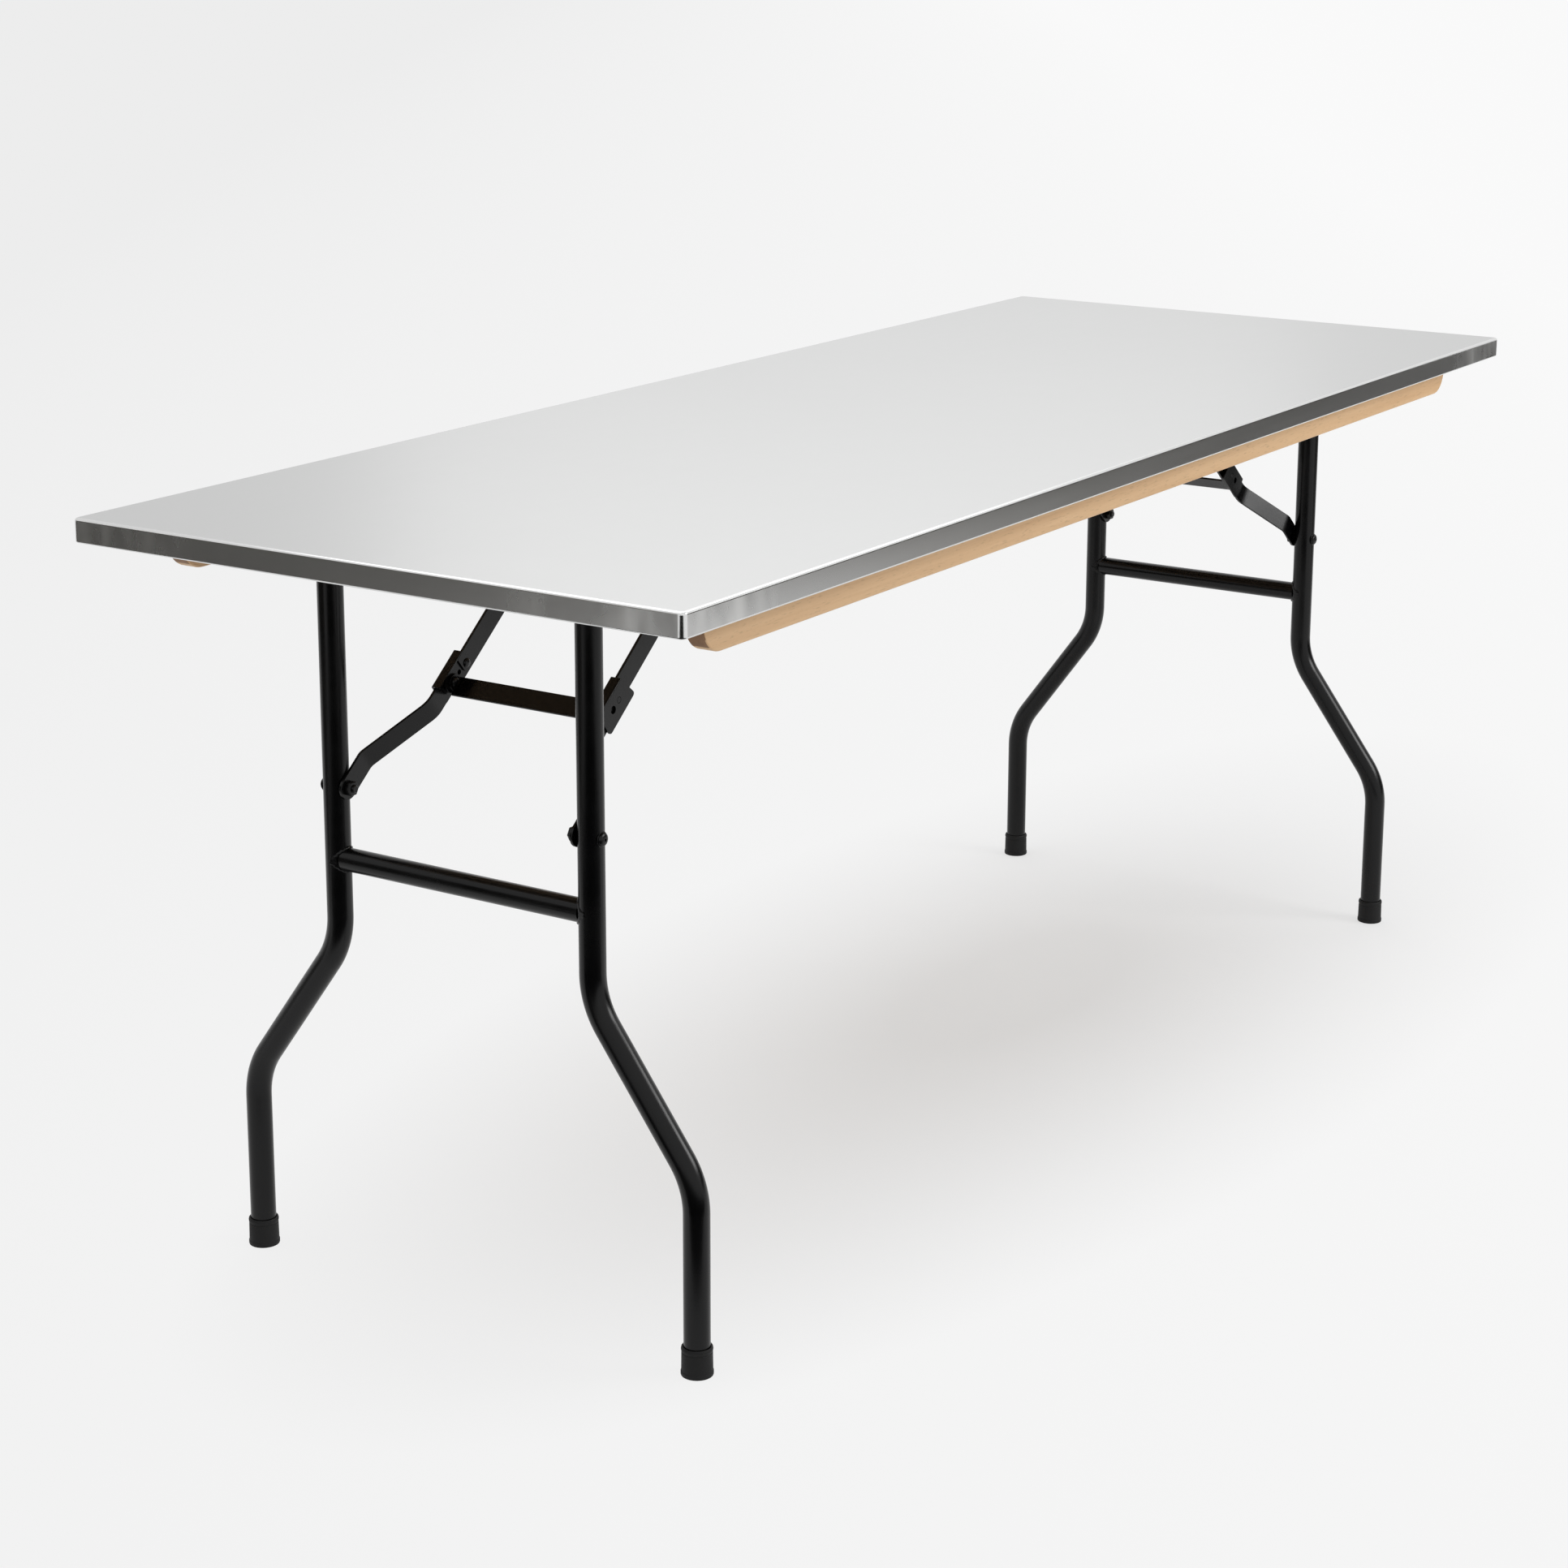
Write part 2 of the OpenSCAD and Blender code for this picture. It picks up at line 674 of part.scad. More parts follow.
// Flush knee pivots, and the rivets that fix the lock channels and the knee bar to the upper
// links, whose outer ends are flush so that the lower link can pass over them
module knee_rivets(far) {
    color("#202020") leg_set(far) both_sides() along_brace() {
        translate([lower_link_length, 0, 0])
            y_rod(rivet_radius, lock_channel_y + lock_thickness - upper_link_y, upper_link_y);
        translate([lower_link_length + lock_tab_offset, 0, 0])
            rivet(upper_link_y - lock_thickness, upper_link_y + link_thickness);
        translate([lower_link_length - knee_bar_offset, 0, 0])
            rivet(knee_tab_y, upper_link_y + link_thickness);
    }
}

// Rivet along +Y between two faces, with a domed head on the inner one
module rivet(from, to) {
    y_rod(rivet_radius, to - from, from);
    translate([0, from, 0]) rotate([90, 0, 0]) rivet_head();
}

// Domed head standing on z = 0
module rivet_head() {
    r = rivet_head_diameter / 2;
    dome = (r * r + rivet_head_height * rivet_head_height) / (2 * rivet_head_height);
    intersection() {
        translate([0, 0, rivet_head_height - dome]) sphere(r = dome);
        cylinder(r = r, h = rivet_head_height);
    }
}

// ---- Nodes ----------------------------------------------------------------------------------

top_skin();
core_board();
rail(true);  // rail_front
rail(false);  // rail_back
rail_screws();
hinge_bracket_screws();
brace_bracket_screws();
for (far = [false, true]) {
    end = far ? "far" : "near";
    brace_pins(far);
    pivot_tube(far);
    cross_tube(far);
    brace_bolts(far);
    brace_nuts(far);
    knee_bar(far);
    knee_rivets(far);
    for (front = [true, false]) {
        place = str(end, "_", front ? "front" : "back");
        hinge_bracket(front, far);
        brace_bracket(front, far);
        leg(front, far);
        foot(front, far);
        upper_link(front, far);
        lower_link(front, far);
        lock_channel(front, far);
    }
}
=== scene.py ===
# %% [markdown]
# # A folding catering table
#
# This lesson dresses a working CAD model of a folding table: a stainless steel top on a board
# core, two beech rails, and two wishbone leg sets of black tube that fold up under the top on
# over-centre braces. The CAD model gives every place and size. Blender gives the finishes, and
# remakes the pieces whose edges and curves catch the light.

# %% Load the CAD model
import json
import math

import bmesh
import bpy
from mathutils import Matrix, Vector


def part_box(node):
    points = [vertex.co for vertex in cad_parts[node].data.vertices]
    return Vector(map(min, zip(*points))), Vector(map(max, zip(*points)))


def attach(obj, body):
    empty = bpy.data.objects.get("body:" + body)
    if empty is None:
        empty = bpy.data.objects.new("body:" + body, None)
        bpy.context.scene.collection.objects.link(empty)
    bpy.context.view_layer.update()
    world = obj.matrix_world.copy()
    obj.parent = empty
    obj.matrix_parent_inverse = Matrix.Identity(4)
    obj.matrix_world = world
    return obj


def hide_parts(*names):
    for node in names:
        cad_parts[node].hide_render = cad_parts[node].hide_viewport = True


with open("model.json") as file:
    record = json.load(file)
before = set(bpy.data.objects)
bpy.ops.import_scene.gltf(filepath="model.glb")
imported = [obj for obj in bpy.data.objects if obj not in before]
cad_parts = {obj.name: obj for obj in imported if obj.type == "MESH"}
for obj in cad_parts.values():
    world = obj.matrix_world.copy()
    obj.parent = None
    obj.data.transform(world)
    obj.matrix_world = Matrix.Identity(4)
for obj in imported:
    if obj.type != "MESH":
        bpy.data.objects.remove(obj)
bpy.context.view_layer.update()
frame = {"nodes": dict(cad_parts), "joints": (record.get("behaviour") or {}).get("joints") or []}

nodes = frame["nodes"]
joints = {j["name"]: j for j in frame["joints"]}
MM = 0.001

# %% [markdown]
# ## Measures taken from the CAD model
#
# Places come from the boxes of the CAD nodes and from the joints, so that a piece made here sits
# exactly where the solid is. What a box can't tell, such as a bend radius or the joggle of a
# brace, is a named number in the cell that uses it.

# %% Read the places
top_low, top_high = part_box("top_skin")
leg_low, leg_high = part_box("leg_near_back")
cross_low, cross_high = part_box("cross_tube_near")
pivot_low, pivot_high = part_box("pivot_tube_near")
foot_low, foot_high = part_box("foot_near_back")
rail_low, rail_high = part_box("rail_back")
leg_radius = (leg_high.x - leg_low.x) / 2
leg_x = (leg_high.x + leg_low.x) / 2
leg_top_y = leg_low.y + leg_radius
leg_foot_y = leg_high.y - leg_radius
cross_radius = (cross_high.z - cross_low.z) / 2
cross_z = (cross_high.z + cross_low.z) / 2
hinge = Vector(joints["near_leg_hinge"]["pos_m"])
brace_pivot = Vector(joints["near_brace_hinge"]["pos_m"])
knee = Vector(joints["near_knee"]["pos_m"])
brace_angle = math.atan2(brace_pivot.z - knee.z, brace_pivot.x - knee.x)
bolt = Vector((leg_x, 0, knee.z - (knee.x - leg_x) * math.tan(brace_angle)))
lower_length = (knee - bolt).length
upper_length = (brace_pivot - knee).length
print("leg tube radius", round(leg_radius / MM, 2), "mm, brace links",
      round(lower_length / MM, 1), "and", round(upper_length / MM, 1), "mm")

# %% [markdown]
# ## Helpers for making pieces
#
# Every new piece starts as a bmesh, a mesh that Python can edit. One function turns it into an
# object that rides on a CAD body and stands for its plain CAD node. Round edges are shaded
# smooth, and each corner's normal is weighted by area, so that a big flat face beside a small
# round edge still looks flat. The table is the same end for end and side for side, so a leg
# piece is made once, at the near end on the back side, and mirrored to the other places. A
# mirror turns a mesh inside out, so its faces are flipped back.

# %% Turn a bmesh into a piece
sharp_angle = math.radians(35)
same_point = 0.001 * MM
own_share = 1e-6        # keeps a corner's normal from coming out as nothing


def shade(mesh):
    for face in mesh.faces:
        face.smooth = True
    for edge in mesh.edges:
        edge.smooth = edge.calc_face_angle(math.pi) < sharp_angle


def corner_normals(mesh):
    """One normal for each face corner, weighted by area so that a flat face stays flat."""
    mesh.normal_update()
    limit = math.cos(sharp_angle)
    weighted = [face.normal * face.calc_area() for face in mesh.faces]
    normals = []
    for face in mesh.faces:
        for vert in face.verts:
            near = [weighted[f.index] for f in vert.link_faces if f.normal.dot(face.normal) > limit]
            normals.append(sum(near, weighted[face.index] * own_share).normalized())
    return normals


def new_object(name, mesh, materials=()):
    """An object made of a bmesh, which is freed."""
    data = bpy.data.meshes.new(name)
    mesh.to_mesh(data)
    mesh.free()
    for material in materials:
        data.materials.append(material)
    made = bpy.data.objects.new(name, data)
    bpy.context.scene.collection.objects.link(made)
    return made


def piece(name, mesh, body, materials, stands_for):
    bmesh.ops.remove_doubles(mesh, verts=mesh.verts, dist=same_point)
    shade(mesh)
    mesh.faces.index_update()
    normals = corner_normals(mesh)
    made = new_object(name, mesh, materials)
    made.data.normals_split_custom_set(normals)
    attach(made, body)
    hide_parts(*stands_for)


def mirrored(mesh, end, side):
    """A copy of a near back piece for the end 'near' or 'far' and the side 'front' or 'back'."""
    copy = mesh.copy()
    flip = Matrix.Diagonal((-1 if end == "far" else 1, -1 if side == "front" else 1, 1, 1))
    bmesh.ops.transform(copy, matrix=flip, verts=copy.verts)
    if flip.determinant() < 0:
        bmesh.ops.reverse_faces(copy, faces=copy.faces)
    return copy


def four(stem, mesh, body, materials):
    """The same piece at both ends and on both sides, each for its own CAD node."""
    for end in ("near", "far"):
        for side in ("front", "back"):
            node = f"{stem}_{end}_{side}"
            piece(f"{node}_shaped", mirrored(mesh, end, side), body.format(end), materials,
                  [node])
    print(stem, "x 4,", len(mesh.faces), "faces each")
    mesh.free()


def two(stem, mesh, body, materials):
    """A piece that spans a leg set, at both ends, each for its own CAD node."""
    for end in ("near", "far"):
        node = f"{stem}_{end}"
        piece(f"{node}_shaped", mirrored(mesh, end, "back"), body.format(end), materials,
              [node])
    print(stem, "x 2,", len(mesh.faces), "faces each")
    mesh.free()


def join(parts):
    """Several bmeshes as one; each keeps its own closed shell."""
    whole = bmesh.new()
    for part in parts:
        data = bpy.data.meshes.new("part")
        part.to_mesh(data)
        part.free()
        whole.from_mesh(data)
        bpy.data.meshes.remove(data)
    return whole


def only_verts(geometry):
    return [v for v in geometry if isinstance(v, bmesh.types.BMVert)]


# %% [markdown]
# ## Helpers for shapes
#
# Most of the table is turned, bent or cut from flat bar, as its real pieces are. A turned piece
# is a half section spun round an axis. A bar is a block or an outline that is extruded and has
# its edges bevelled, because an edge with no radius never catches a highlight.

# %% Turned pieces, blocks and flat plates
def turned(section, steps=48, place=Matrix.Identity(4)):
    """Spins a half section of (radius, height) pairs round the Z axis, then puts it in place."""
    mesh = bmesh.new()
    points = [mesh.verts.new((radius, 0, height)) for radius, height in section]
    edges = [mesh.edges.new(pair) for pair in zip(points, points[1:])]
    bmesh.ops.spin(mesh, geom=points + edges, cent=(0, 0, 0), axis=(0, 0, 1),
                   angle=math.tau, steps=steps, use_merge=True)
    bmesh.ops.remove_doubles(mesh, verts=mesh.verts, dist=same_point)
    bmesh.ops.recalc_face_normals(mesh, faces=mesh.faces)
    bmesh.ops.transform(mesh, matrix=place, verts=mesh.verts)
    return mesh


def bevel(mesh, geometry, size, segments, affect="EDGES", **more):
    bmesh.ops.bevel(mesh, geom=geometry, offset=size, segments=segments, profile=0.5,
                    affect=affect, material=-1, **more)


def bevel_all(mesh, size, segments=2, least_angle=40):
    """Rounds every edge that turns by more than the least angle, in degrees."""
    edges = [e for e in mesh.edges if e.calc_face_angle(0) > math.radians(least_angle)]
    bevel(mesh, edges, size, segments, clamp_overlap=True)


def block(low, high, edge=0):
    """A box between two corners, with its edges eased where a size is given for them."""
    mesh = bmesh.new()
    low, high = Vector(low), Vector(high)
    size = Matrix.Diagonal((*(high - low), 1))
    bmesh.ops.create_cube(mesh, size=1, matrix=Matrix.Translation((low + high) / 2) @ size)
    if edge:
        bevel_all(mesh, edge, 3)
    return mesh


def plate(corners, low_y, high_y, radii, edge, segments=8):
    """A flat plate in the XZ plane from low_y to high_y. radii rounds corners by their index."""
    mesh = bmesh.new()
    points = [mesh.verts.new((x, low_y, z)) for x, z in corners]
    mesh.faces.new(points)
    for index, radius in sorted(radii.items(), reverse=True):
        bevel(mesh, [points[index]], radius, segments, "VERTICES")
    grown = bmesh.ops.extrude_face_region(mesh, geom=list(mesh.faces), use_keep_orig=True)
    bmesh.ops.translate(mesh, verts=only_verts(grown["geom"]), vec=(0, high_y - low_y, 0))
    bmesh.ops.recalc_face_normals(mesh, faces=mesh.faces)
    bevel_all(mesh, edge)
    return mesh


# %% [markdown]
# ## Helpers for materials
#
# A finish is a Principled shader whose colour, roughness and bump come from procedural patterns
# on Object coordinates, in metres. Object coordinates stay with a piece when it moves, and one
# unit of noise is the same real size on every piece. Effects that several finishes share, such
# as smudges, brush lines and wood figure, are node groups with named sockets.

# %% Build shader trees
def set_or_link(tree, socket, value):
    """Gives an input socket its value: a number, a colour or another socket."""
    if isinstance(value, bpy.types.NodeSocket):
        tree.links.new(value, socket)
    else:
        socket.default_value = value


def add(tree, kind, **values):
    """Adds a shader node. Values name its input sockets, or its own settings."""
    made = tree.nodes.new("ShaderNode" + kind)
    for key, value in values.items():
        label = key.replace("_", " ")
        if label in made.inputs:
            set_or_link(tree, made.inputs[label], value)
        else:
            setattr(made, key, value)
    return made


def group(name, inputs, outputs):
    """A new shader group with float inputs (name: default) and float outputs."""
    tree = bpy.data.node_groups.new(name, "ShaderNodeTree")
    for label, value in inputs.items():
        tree.interface.new_socket(label, in_out="INPUT",
                                  socket_type="NodeSocketFloat").default_value = value
    for label in outputs:
        tree.interface.new_socket(label, in_out="OUTPUT", socket_type="NodeSocketFloat")
    return tree, tree.nodes.new("NodeGroupInput").outputs, tree.nodes.new("NodeGroupOutput").inputs


def use(tree, shared, **values):
    """Places a shared group in a tree and returns its outputs."""
    return add(tree, "Group", node_tree=shared, **values).outputs


def maths(tree, operation, first, second=0.0, clamp=False):
    made = add(tree, "Math", operation=operation, use_clamp=clamp)
    for socket, value in zip(made.inputs, (first, second)):
        set_or_link(tree, socket, value)
    return made.outputs[0]


def spread(tree, value, low, high, to_low=0.0, to_high=1.0):
    """Maps a value from one range to another and clamps it."""
    return add(tree, "MapRange", Value=value, From_Min=low, From_Max=high, To_Min=to_low,
               To_Max=to_high).outputs[0]


def mix_colour(tree, factor, first, second):
    made = add(tree, "Mix", data_type="RGBA")
    for index, value in ((0, factor), (6, first), (7, second)):
        set_or_link(tree, made.inputs[index], value)
    return made.outputs[2]


def tinted(level, tint=(1, 1, 1)):
    """A level times a tint, as a colour; a grey where no tint is given."""
    return (*(level * part for part in tint), 1)


def object_place(tree):
    return add(tree, "TexCoord").outputs["Object"]


def stretched(tree, *scales):
    """Object coordinates scaled per axis, for patterns that run one way."""
    return add(tree, "Mapping", Vector=object_place(tree), Scale=scales).outputs[0]


def noise(tree, place, scale=1.0, detail=2.0, rough=0.5, distortion=0.0):
    return add(tree, "TexNoise", Vector=place, Scale=scale, Detail=detail, Roughness=rough,
               Distortion=distortion).outputs[0]


def finish(name):
    """A new material: returns it, its tree and its Principled shader."""
    made = bpy.data.materials.new(name)
    made.use_nodes = True
    return made, made.node_tree, made.node_tree.nodes["Principled BSDF"]


def feed(tree, shader, colour, rough, height=None, strength=0.0, depth=0.3 * MM):
    """Feeds a colour, a roughness and, where one is given, a relief to a finish's shader."""
    tree.links.new(colour, shader.inputs["Base Color"])
    tree.links.new(rough, shader.inputs["Roughness"])
    if height is not None:
        relief = add(tree, "Bump", Strength=strength, Distance=depth, Height=height)
        tree.links.new(relief.outputs[0], shader.inputs["Normal"])


# %% [markdown]
# ## Shared effects
#
# Smudges are a slow noise broken up by a finer one, because handled metal is never evenly
# clean. Speckle is the pebbled skin of powder coat and of moulded rubber: close, soft cells that
# only tilt the surface a little. Brush lines are noise squeezed across the stroke and drawn out
# along it, as abrasive belts leave them.

# %% Smudges, speckle and brush lines
smudges, put, get = group("smudges", {"Scale": 6.0, "Low": 0.0, "High": 1.0}, ["Value"])
broad = noise(smudges, object_place(smudges), put["Scale"], 4.0, 0.6)
smudges.links.new(spread(smudges, broad, 0.35, 0.65, put["Low"], put["High"]), get["Value"])

speckle, put, get = group("speckle", {"Scale": 900.0, "Depth": 1.0}, ["Height"])
cells = noise(speckle, object_place(speckle), put["Scale"])
speckle.links.new(maths(speckle, "MULTIPLY", cells, put["Depth"]), get["Height"])

brush_lines, put, get = group("brush_lines", {"Fine": 1.0, "Broad": 1.0},
                              ["Fine Lines", "Broad Lines"])
for label, scales, detail in (("Fine", (4, 2400, 2400), 2.0), ("Broad", (0.8, 420, 420), 3.0)):
    lines = noise(brush_lines, stretched(brush_lines, *scales), 1.0, detail, 0.6)
    brush_lines.links.new(maths(brush_lines, "MULTIPLY", lines, put[label]),
                          get[f"{label} Lines"])
print("shared effects:", [g.name for g in bpy.data.node_groups])

# %% [markdown]
# ## Brushed stainless steel
#
# The top is thin stainless sheet with a satin brushed face. It is a pure metal, so its colour is
# all reflection: a pale grey. It has three finishes. The top face is the roughest, with brush
# lines along the table and faint patches where it was wiped. The upright fascias are a little
# smoother, with level lines of their own. At the four corners they are welded and ground back,
# which leaves cloudy patches with upright polishing marks and slight waves. The rolled edges are
# smoother, because the fold stretches the sheet and hands polish it, and their paler grey is a
# painted highlight along each fold.

# %% Stainless finishes
steel_tint = (0.98, 0.985, 0.98)
tone_swing = 0.06                       # how far the brushing lightens and darkens the steel
ground_tone = (0.80, 0.80, 0.79, 1)
ground_reach = 200 * MM                 # from a corner to where its ground patch has faded out
ground_waves = 0.6 * MM                 # how deep the grinding left the fascia wavy


def corner_mask(tree, reach):
    """1 at the top's four upright corners, fading to 0 over the reach along either fascia."""
    sides = add(tree, "SeparateXYZ", Vector=object_place(tree)).outputs
    near = [spread(tree, maths(tree, "ABSOLUTE", sides[axis]), top_high[axis] - reach,
                   top_high[axis] - 0.25 * reach) for axis in (0, 1)]
    return maths(tree, "MULTIPLY", *near)


def stainless(name, pale, rough_level, patched=False):
    """A brushed steel; patched has level brush lines and patches ground at the corners."""
    made, tree, shader = finish(name)
    if patched:
        fine, broad = [noise(tree, stretched(tree, *scales))
                       for scales in ((4, 4, 260), (2, 2, 90))]
    else:
        fine, broad = use(tree, brush_lines).values()
    waver = 0.008 if patched else 0.02
    cloud = use(tree, smudges, Scale=2.2, Low=-waver, High=waver)["Value"]
    streak = spread(tree, broad, 0.35, 0.65, -0.006, 0.006)
    rough = maths(tree, "ADD", maths(tree, "ADD", cloud, streak), rough_level)
    tone = maths(tree, "ADD", maths(tree, "MULTIPLY", streak, 0.8),
                 spread(tree, fine, 0.3, 0.7, -0.012, 0.012))
    colour = mix_colour(tree, maths(tree, "ADD", tone, 0.5, clamp=True),
                        tinted(pale - tone_swing, steel_tint),
                        tinted(pale + tone_swing, steel_tint))
    relief = (fine, 0.03)
    if patched:
        marks = noise(tree, stretched(tree, 220, 220, 7), 1.0, 1.0, 0.4)
        clouds = noise(tree, stretched(tree, 42, 42, 13), 1.0, 1.0, 0.4)
        corner = corner_mask(tree, ground_reach)
        mask = maths(tree, "MULTIPLY", corner, spread(tree, clouds, 0.35, 0.70))
        ground = spread(tree, marks, 0.25, 0.75, 0.05, 0.12)
        rough = maths(tree, "ADD", rough, maths(tree, "MULTIPLY", mask, ground))
        colour = mix_colour(tree, mask, colour, ground_tone)
        relief = (maths(tree, "MULTIPLY", corner, clouds), 1.0, ground_waves)
    feed(tree, shader, colour, rough, *relief)
    shader.inputs["Metallic"].default_value = 1.0
    return made


brushed_steel = stainless("brushed_steel", 0.55, 0.30)
fascia_steel = stainless("fascia_steel", 0.58, 0.26, patched=True)
# the rolled edges' paler grey is a painted highlight along each fold
rolled_steel = stainless("rolled_steel", 0.74, 0.15)
print("steel finishes:", [m.name for m in (brushed_steel, fascia_steel, rolled_steel)])

# %% [markdown]
# ## Beech, board and rubber
#
# The rails are planed beech: pinkish tan, with short dark flecks drawn out along the grain and
# slow bands of colour. Their sawn ends soak up more finish and turn brown, so they get a finish
# of their own. The core is chipboard, flakes of many tones pressed flat. The feet are black
# rubber, dull and faintly mottled.

# %% Wood, board and rubber finishes
wood_figure, put, get = group("wood_figure", {"Along": 1.6, "Across": 60.0}, ["Bands", "Flecks"])
sides = add(wood_figure, "SeparateXYZ", Vector=object_place(wood_figure)).outputs
across = [maths(wood_figure, "MULTIPLY", sides[axis], put["Across"]) for axis in (1, 2)]
along = maths(wood_figure, "MULTIPLY", sides[0], put["Along"])
band_place, fleck_place = [
    add(wood_figure, "CombineXYZ", X=run, Y=across[0], Z=across[1]).outputs[0]
    for run in (along, maths(wood_figure, "MULTIPLY", along, 4.0))]
wood_figure.links.new(noise(wood_figure, band_place, 1.0, 4.0, 0.6, 0.6), get["Bands"])
wood_figure.links.new(noise(wood_figure, fleck_place, 14.0), get["Flecks"])


def beech(name, pale, dark, rough):
    made, tree, shader = finish(name)
    bands, flecks = use(tree, wood_figure).values()
    colour = mix_colour(tree, spread(tree, bands, 0.3, 0.7), (*pale, 1), (*dark, 1))
    colour = mix_colour(tree, spread(tree, flecks, 0.60, 0.72, 0.0, 0.45), colour,
                        tinted(0.62, dark))
    feed(tree, shader, colour, spread(tree, bands, 0.2, 0.8, rough - 0.06, rough + 0.08),
         flecks, 0.25)
    return made


beech_face = beech("beech_face", (0.74, 0.49, 0.27), (0.62, 0.38, 0.19), 0.45)
beech_end = beech("beech_end", (0.34, 0.19, 0.10), (0.24, 0.13, 0.065), 0.6)

chipboard, tree, shader = finish("chipboard")
flakes = add(tree, "TexVoronoi", Vector=stretched(tree, 420, 420, 420), Scale=1.0,
             Randomness=1.0).outputs
flake_tone = add(tree, "SeparateColor", Color=flakes["Color"]).outputs[0]
dust = use(tree, smudges, Scale=4.0, High=0.35)["Value"]
colour = mix_colour(tree, flake_tone, (0.36, 0.235, 0.135, 1), (0.62, 0.45, 0.29, 1))
feed(tree, shader, mix_colour(tree, dust, colour, (0.50, 0.38, 0.26, 1)),
     spread(tree, flake_tone, 0.0, 1.0, 0.62, 0.82), flakes["Distance"], 0.3, 0.4 * MM)

black_rubber, tree, shader = finish("black_rubber")
mottle = use(tree, smudges, Scale=60.0)["Value"]
feed(tree, shader, mix_colour(tree, mottle, (0.006, 0.006, 0.0063, 1), tinted(0.012)),
     spread(tree, mottle, 0.0, 1.0, 0.52, 0.7), use(tree, speckle, Scale=1400.0)["Height"], 0.2)
shader.inputs["Specular IOR Level"].default_value = 0.22
print("beech, chipboard and rubber ready")

# %% [markdown]
# ## Powder coat and fasteners
#
# The leg sets are powder coated satin black. The powder melts into a skin with a fine orange
# peel, which blurs a highlight along a tube and breaks up its edges. Rivets and bolts are
# blackened steel, a shade paler and duller, with a finer grain. The screws and pins under the
# top are zinc plated.

# %% Metal finishes
def coated(name, tone, rough, peel, depth, gloss):
    """A black skin. peel says how fine its orange peel is, and depth how strong."""
    made, tree, shader = finish(name)
    patch = use(tree, smudges, Scale=14.0)["Value"]
    feed(tree, shader, mix_colour(tree, patch, tinted(0.85, tone), tinted(1.25, tone)),
         spread(tree, patch, 0.0, 1.0, rough - 0.04, rough + 0.05),
         use(tree, speckle, Scale=peel)["Height"], depth)
    shader.inputs["Specular IOR Level"].default_value = gloss
    return made


powder_coat = coated("powder_coat", (0.0018, 0.0018, 0.0020), 0.23, 1100.0, 0.06, 0.26)
black_steel = coated("black_steel", (0.0030, 0.0030, 0.0032), 0.27, 1800.0, 0.05, 0.25)

zinc_plate, tree, shader = finish("zinc_plate")
passivate = use(tree, smudges, Scale=120.0)["Value"]
feed(tree, shader, mix_colour(tree, passivate, (0.56, 0.56, 0.54, 1), (0.68, 0.67, 0.62, 1)),
     spread(tree, passivate, 0.0, 1.0, 0.26, 0.4))
shader.inputs["Metallic"].default_value = 1.0
print("powder coat, black steel and zinc ready")

# %% [markdown]
# ## The steel top
#
# The real top is one sheet of stainless steel folded down over the board on four sides and then
# back under it as a lip. It could be a solid block, but then the underside would show no lip.
# So a box gets its upright corners, its top edges and its bottom edges bevelled into rolled
# folds, its underside is inset by the lip's width and opened, and the shell is given the
# thickness of the sheet.

# %% Fold the steel top
corner_roll = 6 * MM
edge_roll = 3 * MM
lip_width = 15 * MM
sheet = 1 * MM
hem_roll = 2 * MM
broad_face = 0.1        # square metres; only the top and the underside are larger


def underside(mesh):
    return [f for f in mesh.faces if f.normal.z < -0.99 and f.calc_area() > broad_face]


def steel_top():
    mesh = block(top_low, top_high)
    upright = [e for e in mesh.edges if abs(e.verts[0].co.z - e.verts[1].co.z) > sheet]
    bevel(mesh, upright, corner_roll, 8)
    for level, roll, steps in ((top_high.z, edge_roll, 6), (top_low.z, hem_roll, 4)):
        rim = [e for e in mesh.edges if all(abs(v.co.z - level) < same_point for v in e.verts)
               and e.calc_face_angle(0) > 1]
        bevel(mesh, rim, roll, steps)
    bmesh.ops.inset_region(mesh, faces=underside(mesh), thickness=lip_width - hem_roll)
    bmesh.ops.delete(mesh, geom=underside(mesh), context="FACES")
    bmesh.ops.solidify(mesh, geom=list(mesh.faces), thickness=sheet)
    for face in mesh.faces:
        upright = abs(face.normal.z) < 0.01
        flat = max(abs(part) for part in face.normal) > 0.999
        face.material_index = (1 if upright else 0) if flat else 2
    return mesh


mesh = steel_top()
print("steel top:", len(mesh.faces), "faces")
piece("steel_top", mesh, "tabletop", [brushed_steel, fascia_steel, rolled_steel],
      ["top_skin"])
nodes["core_board"].data.materials.clear()
nodes["core_board"].data.materials.append(chipboard)

# %% [markdown]
# ## The rails
#
# Each rail is a planed beech batten on edge, screwed up into the board. Its long edges are
# eased, and its two lower end corners are rounded so that they don't catch on clothes. The block
# is bevelled once with a large radius at those corners, and again with a small one all round.
# The screw holes are bored with a boolean, as a drill would, because a hole in a flat face is
# easier to cut than to model.

# %% Plane and bore the rails
rail_corner = 28 * MM
eased = 1.8 * MM
screw_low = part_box("rail_screws")[0]
screw_head = 4 * MM
screw_count = 6
bore_radius = 4.3 * MM
bore_depth = 10 * MM
past_face = 0.5 * MM    # how far a drill starts outside the wood


def bored(mesh, cutters):
    """The mesh with the cutters taken out of it."""
    blank, cutter = new_object("blank", mesh), new_object("cutter", join(cutters))
    cut = blank.modifiers.new("bore", "BOOLEAN")
    cut.operation, cut.solver, cut.object = "DIFFERENCE", "EXACT", cutter
    result = bmesh.new()
    result.from_object(blank, bpy.context.evaluated_depsgraph_get())
    for thing in (blank, cutter):
        data = thing.data
        bpy.data.objects.remove(thing)
        bpy.data.meshes.remove(data)
    return result


